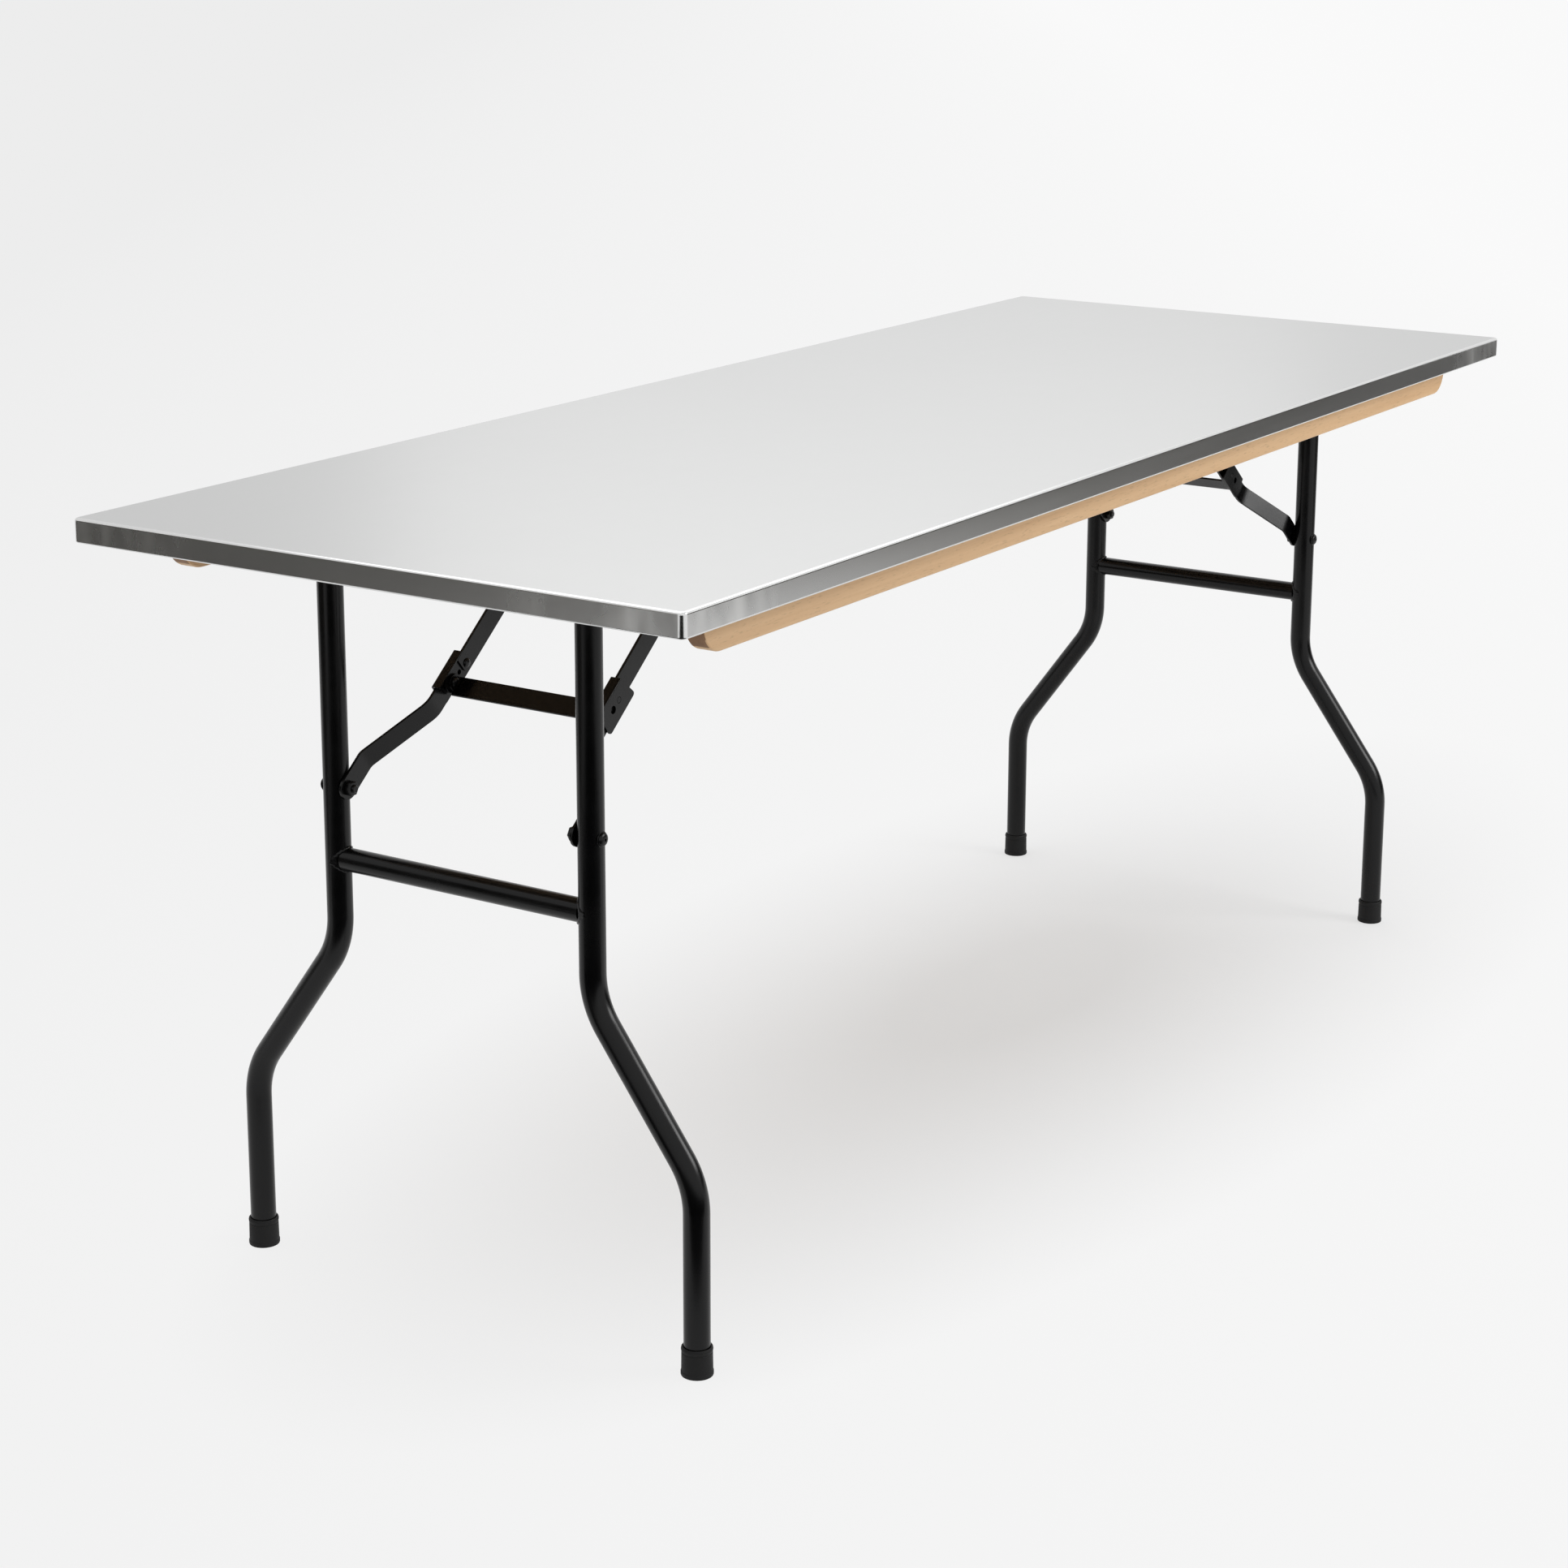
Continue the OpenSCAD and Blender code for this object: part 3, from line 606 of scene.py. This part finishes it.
def rail():
    mesh = block(rail_low, rail_high)
    ends = [e for e in mesh.edges if all(v.co.z < rail_low.z + MM for v in e.verts)
            and abs(e.verts[0].co.y - e.verts[1].co.y) > MM]
    bevel(mesh, ends, rail_corner, 12)
    bevel_all(mesh, eased, 3)
    middle_y = (rail_low.y + rail_high.y) / 2
    first_x = screw_low.x + screw_head
    pitch = -2 * first_x / (screw_count - 1)
    bore = [(0, 0), (bore_radius, 0), (bore_radius, bore_depth), (0, bore_depth)]
    drills = [turned(bore, 24, Matrix.Translation((first_x + i * pitch, middle_y,
                                                   rail_low.z - past_face)))
              for i in range(screw_count)]
    mesh = bored(mesh, drills)
    for face in mesh.faces:
        face.material_index = 1 if abs(face.normal.x) > 0.6 else 0
    return mesh


mesh = rail()
print("rail:", len(mesh.faces), "faces")
for side in ("front", "back"):
    piece(f"rail_{side}_shaped", mirrored(mesh, "near", side), "tabletop",
          [beech_face, beech_end], [f"rail_{side}"])
mesh.free()

# %% [markdown]
# ## The legs
#
# A leg is one length of round tube, bent twice on a former: straight down from the hinge, out
# over a smooth elbow, and straight again into its foot. The same moves make it here. A circle is
# extruded down, spun round the first bend's centre, extruded along the splay, and spun back
# upright round the second. Each step carries the circle on from where the last one left it.

# %% Bend the legs
bend_radius = 85 * MM
upper_corner = 342 * MM
lower_corner = 187 * MM
splay = math.atan2(leg_foot_y - leg_top_y, upper_corner - lower_corner)
setback = bend_radius * math.tan(splay / 2)
ring_steps = 40


def ring_edges(ring):
    """The edges between the points of an open end ring, in the ring's order."""
    return list(dict.fromkeys(e for v in ring for e in v.link_edges
                              if all(w in ring for w in e.verts)))


def draw_on(mesh, ring, vector):
    """Extrudes the open end ring straight along a vector and returns the new end ring."""
    ring = only_verts(bmesh.ops.extrude_edge_only(mesh, edges=ring_edges(ring))["geom"])
    bmesh.ops.translate(mesh, verts=ring, vec=vector)
    return ring


def bend_on(mesh, ring, centre, angle, steps=14):
    """Spins the open end ring round a bend's centre, about X, and returns the new end ring."""
    made = bmesh.ops.spin(mesh, geom=ring_edges(ring) + list(ring), cent=centre, axis=(1, 0, 0),
                          angle=angle, steps=steps)
    return only_verts(made["geom_last"])


def leg():
    mesh = bmesh.new()
    ring = bmesh.ops.create_circle(mesh, segments=ring_steps, radius=leg_radius,
                                   matrix=Matrix.Translation((leg_x, leg_top_y, hinge.z)))["verts"]
    ring = draw_on(mesh, ring, (0, 0, upper_corner + setback - hinge.z))
    ring = bend_on(mesh, ring, (leg_x, leg_top_y + bend_radius, upper_corner + setback), splay)
    run = math.hypot(leg_foot_y - leg_top_y, upper_corner - lower_corner) - 2 * setback
    ring = draw_on(mesh, ring, (0, run * math.sin(splay), -run * math.cos(splay)))
    ring = bend_on(mesh, ring, (leg_x, leg_foot_y - bend_radius, lower_corner - setback), -splay)
    draw_on(mesh, ring, (0, 0, leg_low.z - lower_corner + setback))
    bmesh.ops.holes_fill(mesh, edges=[e for e in mesh.edges if e.is_boundary])
    bmesh.ops.recalc_face_normals(mesh, faces=mesh.faces)
    return mesh


four("leg", leg(), "{}_leg_frame", [powder_coat])

# %% [markdown]
# ## Cross tubes, pivot tubes and welds
#
# A smaller tube joins each pair of legs below the braces, and another at the top is the hinge
# pin. Their ends are welded all round. A weld bead is a ring of small ripples that follows the
# curve of the leg, so it is made as a thin ring, spun up from a circle, and then each of its
# points is pushed back onto the leg. Two waves that run round the ring swell it into ripples.

# %% Cut the tubes and lay the welds
bead_radius = 1.3 * MM
bead_slices = 66
bead_out = 0.5 * MM     # from the tube's skin to the middle of its bead
bead_sink = 0.4 * MM    # how far a bead is sunk into the leg
tube_wall = 1.5 * MM
tube_bite = 3 * MM      # how far a cross tube runs into the leg


def along_y(x, y, z):
    """Places a piece turned round Z so that its axis runs along +Y from a point."""
    return Matrix.Translation((x, y, z)) @ Matrix.Rotation(math.radians(-90), 4, "X")


def tube_along_y(radius, low_y, high_y, x, z, wall=0):
    """A tube, or a solid bar where no wall is given."""
    section = [(radius, 0), (radius, high_y - low_y)]
    if wall:
        section += [(radius - wall, high_y - low_y), (radius - wall, 0), (radius, 0)]
    else:
        section = [(0, 0)] + section + [(0, high_y - low_y)]
    return turned(section, ring_steps, along_y(x, low_y, z))


def weld(centre_x, centre_z, tube_radius, side_y):
    """A bead round a tube along Y, laid on an upright leg whose axis is at side_y."""
    mesh = bmesh.new()
    bmesh.ops.create_circle(mesh, segments=10, radius=bead_radius,
                            matrix=Matrix.Translation((tube_radius + bead_out, 0, 0))
                            @ Matrix.Rotation(math.radians(90), 4, "X"))
    bmesh.ops.spin(mesh, geom=list(mesh.edges) + list(mesh.verts), cent=(0, 0, 0),
                   axis=(0, 0, 1), angle=math.tau, steps=bead_slices, use_merge=True)
    bmesh.ops.remove_doubles(mesh, verts=mesh.verts, dist=same_point)
    for point in mesh.verts:
        turn = math.atan2(point.co.y, point.co.x)
        away = Vector((point.co.x, point.co.y, 0)).length
        ripple = 1 + 0.16 * math.sin(turn * bead_slices / 3) + 0.08 * math.sin(turn * 5)
        away = tube_radius + (away - tube_radius) * ripple
        point.co = (away * math.cos(turn), away * math.sin(turn), point.co.z * ripple)
        leg_depth = math.sqrt(max(leg_radius ** 2 - point.co.x ** 2, 0))
        point.co.z += leg_radius - leg_depth
    bmesh.ops.recalc_face_normals(mesh, faces=mesh.faces)
    inward = 1 if side_y > 0 else -1
    place = Matrix.Translation((centre_x, side_y - inward * (leg_radius + bead_sink), centre_z))
    turn = Matrix.Rotation(math.radians(-90 * inward), 4, "X")
    bmesh.ops.transform(mesh, matrix=place @ turn, verts=mesh.verts)
    return mesh


reach = leg_top_y - leg_radius + tube_bite
bar = tube_along_y(cross_radius, -reach, reach, leg_x, cross_z)
beads = [weld(leg_x, cross_z, cross_radius, side * leg_top_y) for side in (-1, 1)]
two("cross_tube", join([bar] + beads), "{}_leg_frame", [powder_coat])

pin = tube_along_y(cross_radius, pivot_low.y, pivot_high.y, hinge.x, hinge.z, tube_wall)
beads = [weld(hinge.x, hinge.z, cross_radius, side * leg_top_y) for side in (-1, 1)]
two("pivot_tube", join([pin] + beads), "{}_leg_frame", [powder_coat])

# %% [markdown]
# ## Rubber feet
#
# Each leg stands in a moulded rubber cup that flares a little towards the floor and has a rolled
# lip at its mouth. The cup is a little lower than its plain solid. It is a turned piece: its
# half section runs from the sole up the flared side, round the lip and down inside the bore.

# %% Turn the feet
foot_radius = (foot_high.x - foot_low.x) / 2
lowered = 7 * MM
foot_height = foot_high.z - lowered
lip_radius = 14.6 * MM
sole = 6 * MM
welt = [(foot_radius - 5 * MM, 1.2 * MM), (foot_radius - 4.4 * MM, 0), (foot_radius - 1.2 * MM, 0),
        (foot_radius - 0.35 * MM, 0.35 * MM), (foot_radius, 1.2 * MM), (foot_radius, 4.2 * MM),
        (foot_radius - 0.5 * MM, 4.8 * MM)]
lip = [(lip_radius + out * MM, foot_height - down * MM)
       for out, down in ((0.15, 6.5), (-0.35, 5.8), (-0.3, 5), (0.3, 4.2), (0.5, 2.6), (0.2, 1),
                         (-0.6, 0))]
bore = [(leg_radius + 0.35 * MM, foot_height - 0.2 * MM),
        (leg_radius + 0.05 * MM, foot_height - 1 * MM), (leg_radius + 0.05 * MM, sole), (0, sole)]
four("foot", turned([(0, 1.2 * MM)] + welt + lip + bore, 56,
                    Matrix.Translation((leg_x, leg_foot_y, 0))),
     "{}_leg_frame", [black_rubber])

# %% [markdown]
# ## Bolts, nuts and rivets
#
# The braces hang on a domed bolt through each leg, held by a nut on the inner side. A rivet is
# a short pin with a domed head on its inner end and its outer end set flush. All of them are
# turned, except the nut, which is a six sided prism with its edges eased.

# %% Turn the fasteners
bolt_low, bolt_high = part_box("brace_bolts_near")
head_radius = (bolt_high.z - bolt_low.z) / 2
head_seat = leg_top_y + leg_radius
head_height = bolt_high.y - head_seat
shank_radius = 4 * MM


def dome(radius, height, rim, steps=7):
    """The section of a domed head standing on z = 0, from its rim to its middle."""
    section = [(radius - 0.2 * MM, 0), (radius, 0.2 * MM), (radius, rim)]
    for i in range(1, steps + 1):
        turn = math.radians(90 * i / steps)
        section.append((radius * math.cos(turn) if i < steps else 0,
                        rim + (height - rim) * math.sin(turn)))
    return section


def bolt_at(side):
    section = [(0, -2 * leg_radius), (shank_radius, -2 * leg_radius), (shank_radius, 0)]
    body = turned(section + dome(head_radius, head_height, 1.0 * MM)[:-1]
                  + [(2.4 * MM, head_height), (2.2 * MM, head_height - 1.4 * MM),
                     (0, head_height - 1.7 * MM)], 40, along_y(leg_x, head_seat, bolt.z))
    washer = turned([(shank_radius + 0.1 * MM, -0.6 * MM), (head_radius + 1 * MM, -0.6 * MM),
                     (head_radius + 1 * MM, -0.1 * MM), (head_radius + 0.7 * MM, 0.15 * MM),
                     (shank_radius + 0.1 * MM, 0.15 * MM), (shank_radius + 0.1 * MM, -0.6 * MM)],
                    40, along_y(leg_x, head_seat, bolt.z))
    return mirrored(join([body, washer]), "near", side)


two("brace_bolts", join([bolt_at("back"), bolt_at("front")]), "{}_leg_frame",
    [black_steel])

nut_low, nut_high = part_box("brace_nuts_near")
nut_flats = nut_high.x - nut_low.x
nut_height = 6 * MM
nut_past = 2 * MM       # how far a stud stands out of its nut
link_thickness = 3 * MM
link_gap = 0.4 * MM
leg_link_y = head_seat - 2 * leg_radius - link_gap - link_thickness


def nut_at(side):
    hexagon = bmesh.new()
    corner = nut_flats / 2 / math.cos(math.radians(30))
    bmesh.ops.create_cone(hexagon, cap_ends=True, segments=6, depth=nut_height, radius1=corner,
                          radius2=corner,
                          matrix=along_y(leg_x, leg_link_y - nut_height / 2, bolt.z)
                          @ Matrix.Rotation(math.radians(30), 4, "Z"))
    bevel_all(hexagon, 0.7 * MM, 3)
    length = nut_high.y - (leg_link_y - nut_height - nut_past)
    threads = 5
    section = [(0, 0), (shank_radius - 0.8 * MM, 0)]
    for i in range(threads):
        base = (0.4 + 0.9 * i) * MM
        section += [(shank_radius, base + 0.35 * MM), (shank_radius - 0.45 * MM, base + 0.8 * MM)]
    section += [(shank_radius, 5.2 * MM), (shank_radius, length), (0, length)]
    stud = turned(section, 32, along_y(leg_x, nut_high.y - length, bolt.z))
    return mirrored(join([hexagon, stud]), "near", side)


two("brace_nuts", join([nut_at("back"), nut_at("front")]), "{}_lower_brace",
    [black_steel])

# %% [markdown]
# ## Brace links
#
# The braces are lengths of flat bar with round ends. A rectangle with its corner points bevelled
# by half its width makes that outline. The upper link stays flat. The lower one is pressed
# sideways so that it reaches from beside the leg to beside the upper link. It is cut across
# every few millimetres where it bends, and each point is slid sideways along a smooth curve.

# %% Cut and press the links
link_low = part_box("upper_link_near_back")[0]
link_half = 11.5 * MM
upper_y = link_low.y
lower_y = upper_y + link_thickness + link_gap
bar_offset = 12 * MM
joggle_start = 32 * MM
joggle_end = lower_length - 40 * MM
knee_bend, leg_bend = 0.17, 0.07        # shares of the joggle's run that its soft bends take
cuts = 30
cut_margin = 5 * MM
brace_place = Matrix.Translation(bolt) @ Matrix.Rotation(-brace_angle, 4, "Y")


def link(start, end, low_y):
    corners = [(start - link_half, -link_half), (end + link_half, -link_half),
               (end + link_half, link_half), (start - link_half, link_half)]
    radius = link_half - 0.02 * MM
    return plate(corners, low_y, low_y + link_thickness, {i: radius for i in range(4)},
                 0.5 * MM, segments=12)


def lower_link():
    mesh = link(0, lower_length, lower_y)
    for i in range(cuts + 1):
        spot = joggle_start - cut_margin + (joggle_end - joggle_start + 2 * cut_margin) * i / cuts
        bmesh.ops.bisect_plane(mesh, geom=list(mesh.verts) + list(mesh.edges) + list(mesh.faces),
                               plane_co=(spot, 0, 0), plane_no=(1, 0, 0))
    run = joggle_end - joggle_start
    for point in mesh.verts:
        share = min(max((joggle_end - point.co.x) / run, 0), 1)
        whole = 1 - (knee_bend + leg_bend) / 2
        if share < knee_bend:
            eased_share = share ** 2 / (2 * knee_bend)
        elif share > 1 - leg_bend:
            eased_share = whole - (1 - share) ** 2 / (2 * leg_bend)
        else:
            eased_share = share - knee_bend / 2
        point.co.y += (leg_link_y - lower_y) * eased_share / whole
    return mesh


def on_brace(mesh):
    """Moves a mesh made along X from the leg's bolt onto the near back brace."""
    bmesh.ops.transform(mesh, matrix=brace_place, verts=mesh.verts)
    return mesh


upper = link(lower_length - bar_offset, lower_length + upper_length, upper_y)
four("upper_link", on_brace(upper), "{}_upper_brace", [powder_coat])
four("lower_link", on_brace(lower_link()), "{}_lower_brace", [powder_coat])

# %% [markdown]
# ## Lock channels, knee bar and knee rivets
#
# A folded angle is riveted over each knee. Its web stops the links in line, which is what locks
# the legs open. It is two faces folded from one strip, bevelled along the fold, given its
# thickness and then drilled. A tab on the inner side takes its rivet. The knee bar joins the
# two sides, so that one hand unlocks both, and its ends are folded up into riveted tabs.

# %% Fold the channels and the bar
channel_thickness = 2 * MM
channel_below = 31 * MM
channel_above = 21 * MM
channel_slant = 6 * MM
channel_foot = -link_half - 4 * MM
channel_top = link_half + 1 * MM + channel_thickness
channel_inner = upper_y - channel_thickness
channel_outer = lower_y + link_thickness + link_gap + channel_thickness
tab_rivet = lower_length + 12 * MM
bar_middle = lower_length - bar_offset
bar_width = 22 * MM
bar_thickness = 2.5 * MM
bar_height = -7.5 * MM
rivet_radius = 3 * MM
rivet_head = 4.75 * MM
rivet_dome = 2.2 * MM
drill_run = 4 * MM      # through the outer flange, and 1 mm past it on either side


def drill(along, radius):
    """A cutter through the outer flange at a place along the brace."""
    return turned([(0, 0), (radius, 0), (radius, drill_run), (0, drill_run)], 32,
                  along_y(along, channel_outer + 1 * MM - drill_run, 0))


def lock_channel():
    mesh = bmesh.new()
    start, end = lower_length - channel_below, lower_length + channel_above
    strip = [(channel_inner, channel_top), (channel_outer, channel_top),
             (channel_outer, channel_foot)]
    points = [mesh.verts.new((start, y, z)) for y, z in strip]
    edges = [mesh.edges.new(pair) for pair in zip(points, points[1:])]
    grown = bmesh.ops.extrude_edge_only(mesh, edges=edges)
    for point in only_verts(grown["geom"]):
        point.co.x = end - (channel_slant if point.co.z > 0 else 0)
    feet = [v for v in mesh.verts if v.co.z < 0]
    bevel(mesh, feet, 4 * MM, 6, "VERTICES")
    folds = [e for e in mesh.edges if e.calc_face_angle(0) > 1]
    bevel(mesh, folds, 2.2 * MM, 5)
    bmesh.ops.recalc_face_normals(mesh, faces=mesh.faces)
    outer = max(mesh.faces, key=lambda f: f.calc_center_median().y)
    if outer.normal.y < 0:
        bmesh.ops.reverse_faces(mesh, faces=mesh.faces)
    bmesh.ops.solidify(mesh, geom=list(mesh.faces), thickness=channel_thickness)
    bevel_all(mesh, 0.3 * MM, 2, least_angle=60)
    mesh = bored(mesh, [drill(bar_middle, rivet_radius + 1 * MM),
                        drill(lower_length, rivet_radius + 0.25 * MM)])
    radius = 7 * MM
    left, right = tab_rivet - radius, end - channel_slant
    tab = plate([(left, -radius), (right + 2 * MM, -radius), (right + 2 * MM, 6 * MM),
                 (right, channel_top - 1 * MM), (left, channel_top - 1 * MM)],
                channel_inner, upper_y, {0: 4.2 * MM, 1: 4.2 * MM}, 0.3 * MM)
    return on_brace(join([mesh, tab]))


def knee_bar():
    tab = 8 * MM
    low, high = bar_height - bar_thickness / 2, bar_height + bar_thickness / 2
    bar = block((bar_middle - bar_width / 2, -upper_y, low),
                (bar_middle + bar_width / 2, upper_y, high), 0.5 * MM)
    corners = [(bar_middle - tab, low), (bar_middle + tab, low), (bar_middle + tab, tab),
               (bar_middle - tab, tab)]
    tabs = [plate(corners, upper_y - bar_thickness, upper_y, {2: 0.95 * tab, 3: 0.95 * tab},
                  0.4 * MM)]
    tabs.append(mirrored(tabs[0], "near", "front"))
    return on_brace(join([bar] + tabs))


def rivet(along, low_y, high_y, head=True):
    """A pin across the brace from low_y to high_y, with a domed head on its inner end."""
    ease = 0.25 * MM
    section = [(rivet_radius, 0)]
    if head:
        section = [(radius, -height) for radius, height in
                   reversed(dome(rivet_head, rivet_dome, 0.3 * MM))] + section
    else:
        section = [(0, 0), (rivet_radius - ease, 0), (rivet_radius, ease)]
    length = high_y - low_y
    section += [(rivet_radius, length - ease), (rivet_radius - ease, length), (0, length)]
    return turned(section, 32, brace_place @ along_y(along, low_y, 0))


four("lock_channel", lock_channel(), "{}_upper_brace", [powder_coat])
two("knee_bar", knee_bar(), "{}_upper_brace", [powder_coat])
one_side = join([rivet(lower_length, upper_y, channel_outer, head=False),
                 rivet(tab_rivet, channel_inner, upper_y + link_thickness),
                 rivet(bar_middle, upper_y - bar_thickness, upper_y + link_thickness)])
two("knee_rivets", join([mirrored(one_side, "near", "front"), one_side]), "{}_upper_brace",
    [black_steel])

# %% [markdown]
# ## Brackets and screws
#
# The brackets, screws and pins under the top keep their CAD solids, whose shapes are already
# right, and take a finish: powder coat on the brackets, bright zinc on the screws and pins.

# %% Finish the carried-over solids
for name, node in nodes.items():
    if "bracket" in name and "screws" not in name:
        chosen = powder_coat
    elif "screws" in name or "pins" in name:
        chosen = zinc_plate
    else:
        continue
    node.data.materials.clear()
    node.data.materials.append(chosen)
    print(name, chosen.name, len(node.data.polygons), "faces")

# %% [markdown]
# ## Floor and background
#
# The table stands on a seamless paper sweep. Close to the table the floor is a pale matt surface
# that takes its soft shadow. Further off, camera and reflections see an even near white in the
# floor and in the world, with no horizon, and neither throws any extra light on the table. Only a
# painted fall-off of light makes that white a little brighter to the camera's right than to its
# left. From below, the floor is clear, so that the underside of the table can be looked at.

# %% Lay the sweep
# left_white and right_white are the two ends of a painted fall-off of light across the near white
left_white, right_white = tinted(0.850), tinted(0.955)
rightward = (0.545, -0.838, 0)          # the camera's right, level with the floor
room_light = (0.55, 0.555, 0.56, 1)


def is_seen(tree):
    """1 for what the camera, a reflection or a refraction sees, 0 for light that arrives."""
    path = add(tree, "LightPath").outputs
    seen = maths(tree, "MAXIMUM", path["Is Camera Ray"], path["Is Glossy Ray"])
    return maths(tree, "MAXIMUM", seen, path["Is Transmission Ray"])


def near_white_with_painted_falloff(tree, where, left, right):
    """Seen near white with a painted fall-off of light, a little brighter to the camera's right
    than to its left.
    """
    across = add(tree, "VectorMath", operation="DOT_PRODUCT", Vector=where)
    across.inputs[1].default_value = rightward
    return mix_colour(tree, spread(tree, across.outputs["Value"], left, right), left_white,
                      right_white)


def mix_shaders(tree, factor, first, second):
    made = add(tree, "MixShader")
    for socket, value in zip(made.inputs, (factor, first.outputs[0], second.outputs[0])):
        tree.links.new(value, socket)
    return made


paper, tree, shader = finish("paper_sweep")
fibre = use(tree, smudges, Scale=3.0)["Value"]
tree.links.new(mix_colour(tree, fibre, tinted(0.80), tinted(0.815)), shader.inputs["Base Color"])
shader.inputs["Roughness"].default_value = 0.9
shader.inputs["Specular IOR Level"].default_value = 0.1
place = object_place(tree)
oval = add(tree, "Mapping", Vector=place, Location=(-0.15, 0, 0), Scale=(0.5, 1.3, 0)).outputs[0]
away = add(tree, "VectorMath", operation="LENGTH", Vector=oval).outputs["Value"]
even = spread(tree, away, 0.12, 0.70, 0.36, 0.99)
# the floor's far white carries the painted fall-off of light, brighter to the camera's right
plain = add(tree, "Emission", Color=near_white_with_painted_falloff(tree, place, -2.6, 2.2), Strength=1.0)
blend = mix_shaders(tree, maths(tree, "MULTIPLY", even, is_seen(tree)), shader, plain)
below = add(tree, "NewGeometry").outputs["Backfacing"]
clear_below = mix_shaders(tree, below, blend, add(tree, "BsdfTransparent"))
tree.links.new(clear_below.outputs[0], tree.nodes["Material Output"].inputs["Surface"])

mesh = bmesh.new()
bmesh.ops.create_grid(mesh, x_segments=4, y_segments=4, size=30)
floor = new_object("floor", mesh, [paper])

world = bpy.data.worlds.new("studio")
bpy.context.scene.world = world
world.use_nodes = True
tree = world.node_tree
background = tree.nodes["Background"]
way = add(tree, "TexCoord").outputs["Generated"]
# the world's seen white carries the same painted fall-off of light
tree.links.new(mix_colour(tree, is_seen(tree), room_light, near_white_with_painted_falloff(tree, way, -0.30, 0.30)),
               background.inputs["Color"])
background.inputs["Strength"].default_value = 1.0
print("floor", [round(side, 1) for side in floor.dimensions], "and world", world.name)

# %% [markdown]
# ## Light
#
# Large soft lamps, as a studio uses for metal: a broad one high over the table, a weak one
# behind its far end, one low on the camera's right for the rails and legs, and a small one that
# draws a bright line along the rolled edges. Bare metal only looks like metal when it has
# something dark to mirror, so cards stand and lie round the table: warm ones for the end fascia,
# dark ones for the long fascia, grey ones for their paler stretches, and a black one for the
# tubes and the round corner. They show in reflections and nowhere else.

# %% Hang the lamps and set the cards
card_tint = (1, 0.95, 0.87)
paper_thin = 4 * MM
off_floor = 2 * MM


def lamp(name, place, aim, width, height, power):
    light = bpy.data.lights.new(name, "AREA")
    light.shape, light.size, light.size_y, light.energy = "RECTANGLE", width, height, power
    made = bpy.data.objects.new(name, light)
    made.location = place
    made.rotation_euler = (Vector(aim) - Vector(place)).to_track_quat("-Z", "Y").to_euler()
    bpy.context.scene.collection.objects.link(made)


lamp("overhead", (0.1, 0.7, 3.2), (0.1, 0.2, 0.5), 4.2, 2.6, 37)
lamp("behind", (3.9, 2.5, 2.8), (0, 0, 0.7), 2.4, 1.8, 7)
lamp("front", (1.4, -3.4, 2.2), (0, 0, 0.5), 1.8, 1.4, 58)
lamp("edge", (2.3, -0.35, 2.9), (-0.6, -0.35, 0.75), 1.3, 0.9, 6)


def card_finish(name, low, high):
    made, tree, shader = finish(name)
    nap = use(tree, smudges, Scale=5.0)["Value"]
    tree.links.new(mix_colour(tree, nap, tinted(low, card_tint), tinted(high, card_tint)),
                   shader.inputs["Base Color"])
    shader.inputs["Roughness"].default_value = 1.0
    shader.inputs["Specular IOR Level"].default_value = 0.0
    return made


card_black = card_finish("card_black", 0.010, 0.016)
card_dark = card_finish("card_dark", 0.070, 0.100)
card_warm = card_finish("card_warm", 0.105, 0.150)
card_grey = card_finish("card_grey", 0.24, 0.30)


def card(name, colour, centre, length, width, height, turn=0.0):
    """A card that only reflections see: a box on the floor, turned by an angle in degrees."""
    mesh = block((-length / 2, -width / 2, off_floor), (length / 2, width / 2, height))
    bmesh.ops.transform(mesh, verts=mesh.verts, matrix=Matrix.Translation((*centre, 0))
                        @ Matrix.Rotation(math.radians(turn), 4, "Z"))
    made = new_object(name, mesh, [colour])
    made.visible_camera = made.visible_diffuse = made.visible_shadow = False
    made.visible_transmission = False


card("card_camera_side", card_black, (-4.0, -2.45), 7.4, 3.2, paper_thin, 34.8)
card("card_left", card_warm, (-2.70, 3.15), 0.02, 4.0, 1.3)
card("card_left_floor", card_warm, (-2.05, 2.6), 1.2, 3.0, paper_thin)
card("card_left_end", card_grey, (-2.70, 0.93), 0.02, 0.42, 1.3)
card("card_right", card_dark, (2.8, -3.4), 0.02, 4.4, 1.2)
card("card_right_near", card_grey, (2.35, -2.6), 0.9, 2.4, paper_thin)
card("card_right_floor", card_dark, (5.4, -3.4), 5.0, 4.4, paper_thin)

# %% [markdown]
# ## Camera
#
# The camera stands off the near end, a little above the top, and looks along the table. A long
# lens keeps the far end large. The lens is shifted down a touch, so that the whole table fits the
# square frame with less tilt.

# %% Set the camera
camera = bpy.data.cameras.new("camera")
camera.sensor_width = 36
camera.lens = 74.987
camera.shift_y = -0.0906
eye = bpy.data.objects.new("camera", camera)
yaw, pitch, roll = 0.575662, 0.242185, 0.002505
ahead = Vector((math.cos(pitch) * math.cos(yaw), math.cos(pitch) * math.sin(yaw),
                -math.sin(pitch)))
right = Vector((math.sin(yaw), -math.cos(yaw), 0))
upward = right.cross(ahead)
tilted_right = right * math.cos(roll) + upward * math.sin(roll)
tilted_up = upward * math.cos(roll) - right * math.sin(roll)
turn = Matrix((tilted_right, tilted_up, -ahead)).transposed()
eye.matrix_world = Matrix.Translation((-3.06415, -1.84160, 1.38374)) @ turn.to_4x4()
bpy.context.scene.collection.objects.link(eye)
bpy.context.scene.camera = eye
bpy.context.scene.view_settings.view_transform = "Standard"
print("camera at", [round(part, 2) for part in eye.matrix_world.translation])
